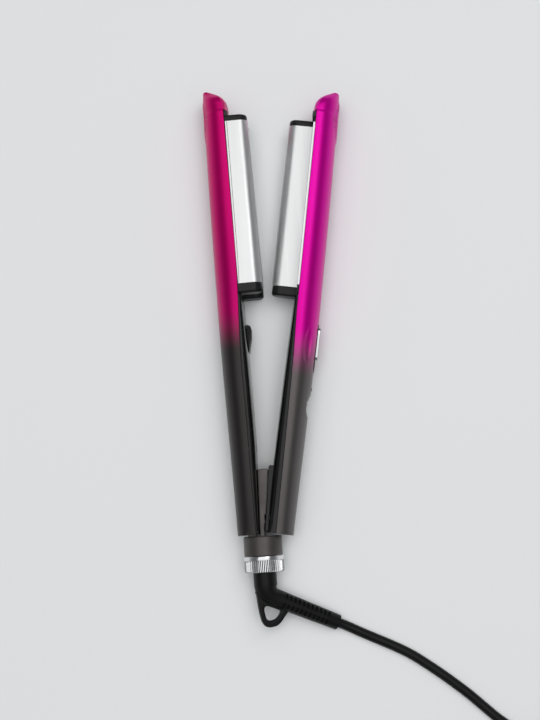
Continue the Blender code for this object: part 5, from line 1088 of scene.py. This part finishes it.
def placed(p, unit=1.0):
    """A place on the table, given from under the collar."""
    return (p[0] * unit + SHIFT.x, p[1] * unit + SHIFT.y, p[2] * unit)


def cord_line():
    """The cord's middle line from the boot through the coil to the plug, and its first point."""
    u, v, heading, _ = boot_line(7)[-1]
    end = boot_point(u, v, 0.0)
    start = end + (boot_point(u + cos(heading), v + sin(heading), 0.0) - end) * GAP
    coil = [placed(p) for p in coil_points()]
    lead = through([tuple(start), *(placed(p, MM) for p in CORD_ROUTE), coil[0]], CORD_STEP)
    tail = through([coil[-1], *(placed(p, MM) for p in TAIL_ROUTE)], CORD_STEP)
    return [Vector(p) for p in [*lead, *coil[1:], *tail[1:]]], start


def cord_tie():
    """Band round the coil's strands on its left side, with a raised buckle."""
    most = COIL_INNER_RADIUS + COIL_PITCH * (COIL_TURNS - COIL_CLIMB_END - 0.75)
    c = TIE_CORNER
    near, far = COIL_INNER_RADIUS - CORD_RADIUS - TIE_NEAR_SLACK + c, most + CORD_RADIUS + TIE_SLACK - c
    low = COIL_LEVEL - CORD_RADIUS - TIE_SLACK + c
    high = COIL_LEVEL + COIL_LAYER_RISE + CORD_RADIUS + TIE_SLACK - c
    rings = []
    for half, grow in ((TIE_REACH * a, c + TIE_WALL * b) for a, b in TIE):
        ring = []
        for quarter, (x, z) in enumerate(((far, high), (near, high), (near, low), (far, low))):
            for a in (pi / 2 * (quarter + k / 8) for k in range(9)):
                ring.append(Vector(placed((COIL_X - (x + grow * cos(a)), COIL_Y + half, z + grow * sin(a)))))
        rings.append(ring)
    return loft(rings, loops=True)


def plug_body():
    """Flat two-pin plug, waisted behind its head for the fingers."""
    x, y, z = placed(TAIL_ROUTE[-1], MM)
    rings = []
    for along in np.linspace(0.0, 1.0, 40):
        wide = PLUG_HALF_WIDTH * smooth_value(PLUG, along)
        high = PLUG_HALF_HEIGHT * smooth_value(PLUG, along, 2)
        rings.append([
            Vector((x - GAP - PLUG_LENGTH * along, y + wide * power(c, 2 / 3), z + high * power(s, 2 / 3)))
            for c, s in circle(1.0, 64)
        ])
    return loft(rings)


def plug_pin(side):
    """A round pin with a domed tip, sleeved for half its length."""
    x, y, z = placed(TAIL_ROUTE[-1], MM)
    x, y = x - 2 * GAP - PLUG_LENGTH, y + side * PLUG_PIN_OFFSET
    length, r = PLUG_PIN_LENGTH, PLUG_PIN_RADIUS
    rows = (
        (0.0, r), (SLEEVE_LENGTH, r), (SLEEVE_LENGTH + SLEEVE_EDGE, r * 0.93), (length - r, r * 0.93),
        (length - r * 0.6, r * 0.88), (length - r * 0.25, r * 0.68), (length, r * 0.3),
    )
    return turned(rows, lambda a, along, b: Vector((x - along, y + a, z + b)), 32)


def feed(node, inputs):
    """Gives a node's inputs their values, or links them to other nodes' outputs."""
    for key, value in inputs.items():
        if isinstance(value, bpy.types.NodeSocket):
            node.id_data.links.new(value, node.inputs[key])
        else:
            node.inputs[key].default_value = value
    return node


def add_node(tree, kind, inputs=None, **settings):
    made = tree.nodes.new("ShaderNode" + kind)
    for key, value in settings.items():
        setattr(made, key, value)
    return feed(made, inputs or {})


def number(tree, operation, *values):
    return add_node(tree, "Math", dict(enumerate(values)), operation=operation).outputs[0]


def vector(tree, operation, *values):
    made = add_node(tree, "VectorMath", dict(enumerate(values)), operation=operation)
    return made.outputs["Value" if operation in ("LENGTH", "DOT_PRODUCT") else "Vector"]


def place_in(tree):
    """The place on a surface, in metres of the frame."""
    return add_node(tree, "TexCoord").outputs["Object"]


def noise(tree, scale, detail=2.0, stretch=(1.0, 1.0, 1.0), turn=0.0):
    """Noise in metres of the object's own frame, stretched along an axis where asked."""
    lay = {"Vector": place_in(tree), "Scale": stretch, "Rotation": (0.0, 0.0, turn)}
    lay = add_node(tree, "Mapping", lay).outputs["Vector"]
    return add_node(tree, "TexNoise", {"Vector": lay, "Scale": scale, "Detail": detail}).outputs["Fac"]


def spread(tree, value, low, high, from_low=0.3, from_high=0.7, **settings):
    """Maps a value's middle range to another range."""
    names = ("Value", "From Min", "From Max", "To Min", "To Max")
    inputs = dict(zip(names, (value, from_low, from_high, low, high)))
    return add_node(tree, "MapRange", inputs, **settings).outputs["Result"]


def mixed(tree, factor, a, b):
    """Mixes two colours, each given as a colour or as a socket."""
    a, b = ((*value, 1.0) if isinstance(value, tuple) else value for value in (a, b))
    return add_node(tree, "Mix", {"Factor": factor, 6: a, 7: b}, data_type="RGBA").outputs[2]


def shader_of(tree):
    return tree.nodes["Principled BSDF"]


def bumped(tree, height, strength, distance, **settings):
    made = add_node(tree, "Bump", {"Height": height, "Strength": strength, "Distance": distance}, **settings)
    feed(shader_of(tree), {"Normal": made.outputs["Normal"]})
    return made


def look(name, colour, roughness, metallic=0.0, coat=0.0, coat_roughness=0.1, specular=0.5):
    """A material and its node tree; the nodes that vary it are added by the functions below."""
    made = bpy.data.materials.new(name)
    made.use_nodes = True
    feed(shader_of(made.node_tree), {
        "Base Color": (*colour, 1.0), "Roughness": roughness, "Metallic": metallic, "Coat Weight": coat,
        "Coat Roughness": coat_roughness, "Specular IOR Level": specular,
    })
    return made, made.node_tree


def grained(name, dark, light, roughness, strength=0.25, **more):
    """Moulded plastic: fine grain, a faint change of colour and uneven gloss."""
    made, tree = look(name, dark, roughness, **more)
    shade = mixed(tree, spread(tree, noise(tree, 60.0, 3.0), 0.0, 1.0), dark, light)
    gloss = spread(tree, noise(tree, 90.0, 3.0), roughness - 0.06, roughness + 0.07)
    feed(shader_of(tree), {"Base Color": shade, "Roughness": gloss})
    bumped(tree, noise(tree, PLASTIC_GRAIN), strength, PLASTIC_GRAIN_DEPTH)
    return made


def brushed(name, colour, roughness, turn=0.0, grain=0.35, darker=0.9):
    """Bare metal with a fine grain drawn along the arm."""
    made, tree = look(name, colour, roughness, 1.0)
    lines = noise(tree, 1.0, 3.0, BRUSH_STRETCH, turn)
    shade = mixed(tree, spread(tree, lines, 0.0, 1.0), tuple(c * darker for c in colour), colour)
    gloss = spread(tree, lines, roughness - 0.05, roughness + 0.08)
    feed(shader_of(tree), {"Base Color": shade, "Roughness": gloss})
    bumped(tree, lines, grain, BRUSH_DEPTH)
    return made


def groove_shade(made, dark, light):
    """Painted shade: darker in the grooves round the collar's axis."""
    tree = made.node_tree
    flat = vector(tree, "MULTIPLY", vector(tree, "SUBTRACT", place_in(tree), SHIFT), (1.0, 0.0, 1.0))
    deep, shallow = RING_RADIUS - KNURL_DEPTH, RING_RADIUS - KNURL_DEPTH / 4
    factor = spread(tree, vector(tree, "LENGTH", flat), 0.0, 1.0, deep, shallow)
    feed(shader_of(tree), {"Base Color": mixed(tree, factor, dark, light)})
    return made


def on_field(tree, arm):
    """One on the raised lens near the tip, zero elsewhere."""
    where = place_in(tree)
    squares = []
    for axis, middle, reach in (
        ((0.0, 1.0, 0.0), FIELD_CENTRE, FIELD_HALF_LENGTH),
        ((0.0, 0.0, 1.0), 0.0, FIELD_HALF_WIDTH * STIPPLE_SPREAD_SHARE),
    ):
        ahead = arm.place.to_3x3() @ Vector(axis)
        away = -(arm.place.translation.dot(ahead) + middle) / reach
        share = number(tree, "MULTIPLY_ADD", vector(tree, "DOT_PRODUCT", where, ahead), 1 / reach, away)
        squares.append(number(tree, "POWER", number(tree, "ABSOLUTE", share), 2.0))
    return spread(tree, number(tree, "ADD", *squares), 1.0, 0.0, 0.62, 0.72)


def lacquer(arm):
    """Metallic lacquer that fades from magenta to charcoal, with a stippled lens near the tip; the right
    arm's colours are painted brighter than the left's, as painted light.
    """
    dark_end, bright_start, bright, deep, charcoal = LACQUERS[arm.name]
    made, tree = look(arm.name + "_lacquer", bright, 0.36, 0.8, 0.06, 0.2, 0.25)
    smooth = {"interpolation_type": "SMOOTHSTEP"}
    ahead = arm.place.to_3x3() @ Vector((0.0, 1.0, 0.0))
    away = vector(tree, "SUBTRACT", place_in(tree), arm.place.translation)
    along = vector(tree, "DOT_PRODUCT", away, ahead)
    fade = spread(tree, along, 0.0, 1.0, dark_end, bright_start, **smooth)
    depth = spread(tree, along, 0.0, 1.0, bright_start, bright_start + DEEP_FADE, **smooth)
    flakes = spread(tree, noise(tree, FLAKE_SCALE, 1.0), 0.0, 1.0, 0.35, 0.75)
    sparkle = mixed(tree, flakes, tuple(c * 0.86 for c in charcoal), tuple(c * 1.25 for c in charcoal))
    dots = add_node(tree, "TexVoronoi", {"Vector": place_in(tree), "Scale": STIPPLE_SCALE})
    dots = spread(tree, dots.outputs["Distance"], 1.0, 0.0, 0.16, 0.42)
    hole = number(tree, "MULTIPLY", on_field(tree, arm), dots)
    # The stipple's pits are painted near black: painted shade in the pits.
    paint = mixed(tree, hole, mixed(tree, depth, deep, bright), tuple(c * STIPPLE_SHADE for c in deep))
    feed(shader_of(tree), {
        "Base Color": mixed(tree, fade, sparkle, paint),
        "Roughness": spread(tree, fade, 0.46, 0.42, 0.0, 1.0),
        "Metallic": spread(tree, fade, 0.9, 0.8, 0.0, 1.0),
    })
    grain = bumped(tree, noise(tree, LACQUER_GRAIN, 1.0), 0.12, LACQUER_GRAIN_DEPTH)
    feed(bumped(tree, hole, 0.9, STIPPLE_DEPTH, invert=True), {"Normal": grain.outputs["Normal"]})
    return made


def make_looks():
    return {
        "gloss_black": grained("gloss_black", (0.005,) * 3, (0.009,) * 3, 0.2, 0.05, specular=0.35),
        "grip": grained("grip_black", (0.006,) * 3, (0.011, 0.011, 0.0115), 0.5, specular=0.25),
        "cap": grained("cap_grey", (0.006,) * 3, (0.01,) * 3, 0.4, specular=0.28),
        "heat_proof": grained("heat_proof", (0.02,) * 3, (0.035, 0.034, 0.034), 0.6),
        "housing": grained("housing_grey", (0.07, 0.062, 0.06), (0.1, 0.09, 0.086), 0.38, metallic=0.6),
        "rubber": grained("rubber_black", (0.003,) * 3, (0.007, 0.007, 0.0072), 0.4, specular=0.2),
        "steel": brushed("steel", (0.55, 0.55, 0.56), 0.3),
        "tin": brushed("tin", (0.72, 0.71, 0.69), 0.28),
        "chrome": brushed("chrome", (0.72, 0.72, 0.73), 0.14, 0.0, 0.05),
        "ceramic": grained("ceramic", (0.7, 0.68, 0.63), (0.8, 0.79, 0.75), 0.55),
        "bead": grained("bead", (0.45, 0.17, 0.1), (0.5, 0.2, 0.12), 0.2),
        "wire": grained("wire", (0.62, 0.6, 0.55), (0.7, 0.68, 0.62), 0.5),
        "board": grained("board", (0.02, 0.13, 0.06), (0.035, 0.17, 0.08), 0.4),
        "switch": grained("switch", (0.015, 0.015, 0.016), (0.024, 0.024, 0.026), 0.4),
        "light": grained("light", (0.05, 0.006, 0.005), (0.07, 0.008, 0.006), 0.15, 0.03),
    }


def painted(obj, mat):
    obj.data.materials.clear()
    obj.data.materials.append(mat)
    return obj


def piece(obj, name, body, mat):
    """Gives a finished piece its look and its body, names it after the CAD node that it stands for, and hides
    that node.
    """
    painted(obj, mat).name = name + "_piece"
    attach(obj, body)
    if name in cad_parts:
        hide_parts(name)
    return obj


def build_arms():
    splay, opening = Matrix.Rotation(LEFT_SPLAY, 4, "Z"), Matrix.Rotation(-OPEN_ANGLE, 4, "Z")
    left = Arm(
        "left", 1, 0.0, Matrix.Translation(SHIFT + DATUM) @ splay, LEFT_TAIL, LEFT_OUTER, LEFT_RIM, LEFT_FACE,
        LEFT_NOSE, LEFT_JAW_START, (-BARREL_OFFSET, BARREL_OFFSET), LEFT_CREST, 0.0,
    )
    right = Arm(
        "right", -1, -PIN_INSET, Matrix.Translation(SHIFT + PIN) @ opening, RIGHT_TAIL, RIGHT_OUTER,
        RIGHT_RIM, RIGHT_FACE, RIGHT_NOSE, RIGHT_JAW_START, (0.0,), RIGHT_CREST, RIGHT_CREST_RISE,
    )
    return left, right


def open_left_shell(arm, shell):
    """The opening for the housing's spigot."""
    reach = SPIGOT_HALF_WIDTH + GAP
    run = (-arm.tail - OVERRUN, OVERRUN - arm.tail + SHELL_WALL)
    cut(shell, block(arm, run, (-SPIGOT_FAR - GAP, OVERRUN - SPIGOT_NEAR), (-reach, reach)))


def open_right_shell(arm, shell):
    """The openings and hollows for the button, the slider and the light."""
    button_dish(arm, shell)
    far = arm.outer(POCKET_MIDDLE) - OVERRUN
    hole = circle(LIGHT_RADIUS + GAP, 40)
    cut(
        shell,
        pocket(arm, BEZEL_MARGIN + 2 * GAP, far, slider_levels(arm)[2]),
        thumb_scoop(arm, -1), thumb_scoop(arm, 1), saddle(arm),
        stud(arm, BUTTON_CENTRE + LIGHT_OFFSET, hole, far, far + SHELL_WALL + 2 * OVERRUN),
    )


def dress_arm(arm, looks):
    left = arm.side > 0
    shell, liner = shell_body(arm), liner_body(arm)
    if left:
        open_left_shell(arm, shell)
    else:
        fork(arm, liner)
        open_right_shell(arm, shell)
    for along in SCREWS.values():
        sink(arm, liner, along)
    piece(rounded(shell, SHELL_EDGE, 3), arm.name + "_shell", arm.body, lacquer(arm))
    piece(rounded(liner, LINER_EDGE, 2), arm.name + "_liner", arm.body, looks["gloss_black"])
    if left:
        piece(finger_ridge(arm), "left_finger_ridge", arm.body, looks["grip"])
    plate = brushed(arm.name + "_plate", PLATE_GREY, 0.4, LEFT_SPLAY if left else -OPEN_ANGLE, 0.2, 0.97)
    piece(jaw_sheet(arm), arm.name + "_jaw", arm.body, plate)
    for suffix, inner_end, length in (
        ("_tip_cap", arm.jaw_end + GAP, TIP_CAP_LENGTH), ("_heel_cap", arm.jaw_start - GAP, -CAP_LENGTH),
    ):
        piece(jaw_cap(arm, inner_end, length), arm.name + suffix, arm.body, looks["cap"])
    if left:
        dress_seams(arm, looks)
    for suffix, along in SCREWS.items():
        piece(screw(arm, along), f"{arm.name}_{suffix}", arm.body, looks["steel"])


def dress_controls(arm, looks):
    piece(slider_bezel(arm), "slider_bezel", "right_arm", looks["grip"])
    piece(mode_slider(arm), "mode_slider", "mode_slider", looks["chrome"])
    piece(power_button(arm), "power_button", "power_button", looks["chrome"])


def dress_seams(arm, looks):
    """The two thin lines along the edges of the left jaw's plate."""
    rise = (PLATE_LINE_TIP - PLATE_LINE_HEEL) / JAW_LENGTH
    for suffix, level in (("upper", JAW_HALF_WIDTH), ("lower", -JAW_HALF_WIDTH)):
        line = [
            arm.point(s, arm.rim(s) + PLATE_LINE_HEEL + rise * (s - arm.jaw_start), level)
            for s in stations(arm.jaw_start + GAP, arm.jaw_end - GAP, PLATE_LINE_STEP)
        ]
        seam = tube(line, PLATE_LINE_RADIUS, 8)
        piece(seam, f"{arm.name}_jaw_seam_{suffix}", arm.body, looks["heat_proof"])


def dress_hinge(left, looks):
    piece(hinge_housing(left), "hinge_housing", "left_arm", looks["housing"])
    silver = brushed("ring_chrome", (0.85, 0.85, 0.86), 0.16, 0.0, 0.05, 0.97)
    # The ring's knurl grooves are painted darker: painted shade.
    silver = groove_shade(silver, (0.16, 0.16, 0.17), (0.8, 0.8, 0.81))
    piece(lock_ring(), "lock_ring", "left_arm", silver)
    piece(swivel_boot(), "swivel_boot", "swivel", looks["rubber"])


def dress_cord(looks):
    line, start = cord_line()
    cord = painted(tube(line, CORD_RADIUS, 20), looks["rubber"])
    cord.name = "cord_piece"
    others = [
        piece(cord_tie(), "cord_tie", "left_arm", looks["heat_proof"]),
        piece(plug_body(), "plug_body", "left_arm", looks["rubber"]),
        piece(plug_pin(-1), "plug_pin_left", "left_arm", looks["tin"]),
        piece(plug_pin(1), "plug_pin_right", "left_arm", looks["tin"]),
    ]
    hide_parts("cord_tube", "cord_coil", "cord_tail")
    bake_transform(cord)


def make_floor():
    """A pale table."""
    mesh = bpy.data.meshes.new("table")
    corners = [(x * TABLE_REACH, y * TABLE_REACH, 0.0) for x, y in ((-1, -1), (1, -1), (1, 1), (-1, 1))]
    mesh.from_pydata(corners, [], [(0, 1, 2, 3)])
    mesh.materials.append(look("table_paint", TABLE_COLOUR, 0.7, specular=0.2)[0])
    added("table", mesh)


def make_lights():
    """A soft lamp that gloss mirrors, a key lamp, a plain fill for matt surfaces, and a dim pale room."""
    bpy.context.scene.view_settings.view_transform = "Standard"
    world = bpy.data.worlds.new("studio")
    bpy.context.scene.world = world
    world.use_nodes = True
    tree = world.node_tree
    toward = add_node(tree, "TexCoord").outputs["Generated"]
    up = add_node(tree, "SeparateXYZ", {0: toward}).outputs["Z"]
    pale = spread(tree, up, HORIZON_STRENGTH, ROOM_STRENGTH, HORIZON_START, HORIZON_RISE)
    rays = add_node(tree, "LightPath").outputs
    seen = number(tree, "MAXIMUM", rays["Is Camera Ray"], rays["Is Glossy Ray"])
    seen = number(tree, "MAXIMUM", seen, rays["Is Transmission Ray"])
    strength = add_node(tree, "Mix", {"Factor": seen, "A": ROOM_STRENGTH, "B": pale}).outputs["Result"]
    feed(tree.nodes["Background"], {"Color": ROOM_COLOUR, "Strength": strength})
    for name, (kind, spot, energy, size) in LAMPS.items():
        light = bpy.data.lights.new(name, kind)
        light.energy = energy
        if kind == "AREA":
            light.size = size
        else:
            light.angle = size
            light.color = FILL_COLOUR
        lamp = added(name, light)
        lamp.location = spot
        lamp.rotation_euler = (-Vector(spot)).to_track_quat("-Z", "Y").to_euler()
        lamp.visible_glossy = kind == "AREA"


def main():
    place_camera()
    looks = make_looks()
    left, right = build_arms()
    dress_cord(looks)
    dress_arm(left, looks)
    dress_arm(right, looks)
    dress_controls(right, looks)
    dress_hinge(left, looks)
    for look_name, names in CAD_LOOKS.items():
        for name in names:
            smoothed(painted(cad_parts[name], looks[look_name]), 32.0)
    make_floor()
    make_lights()


main()
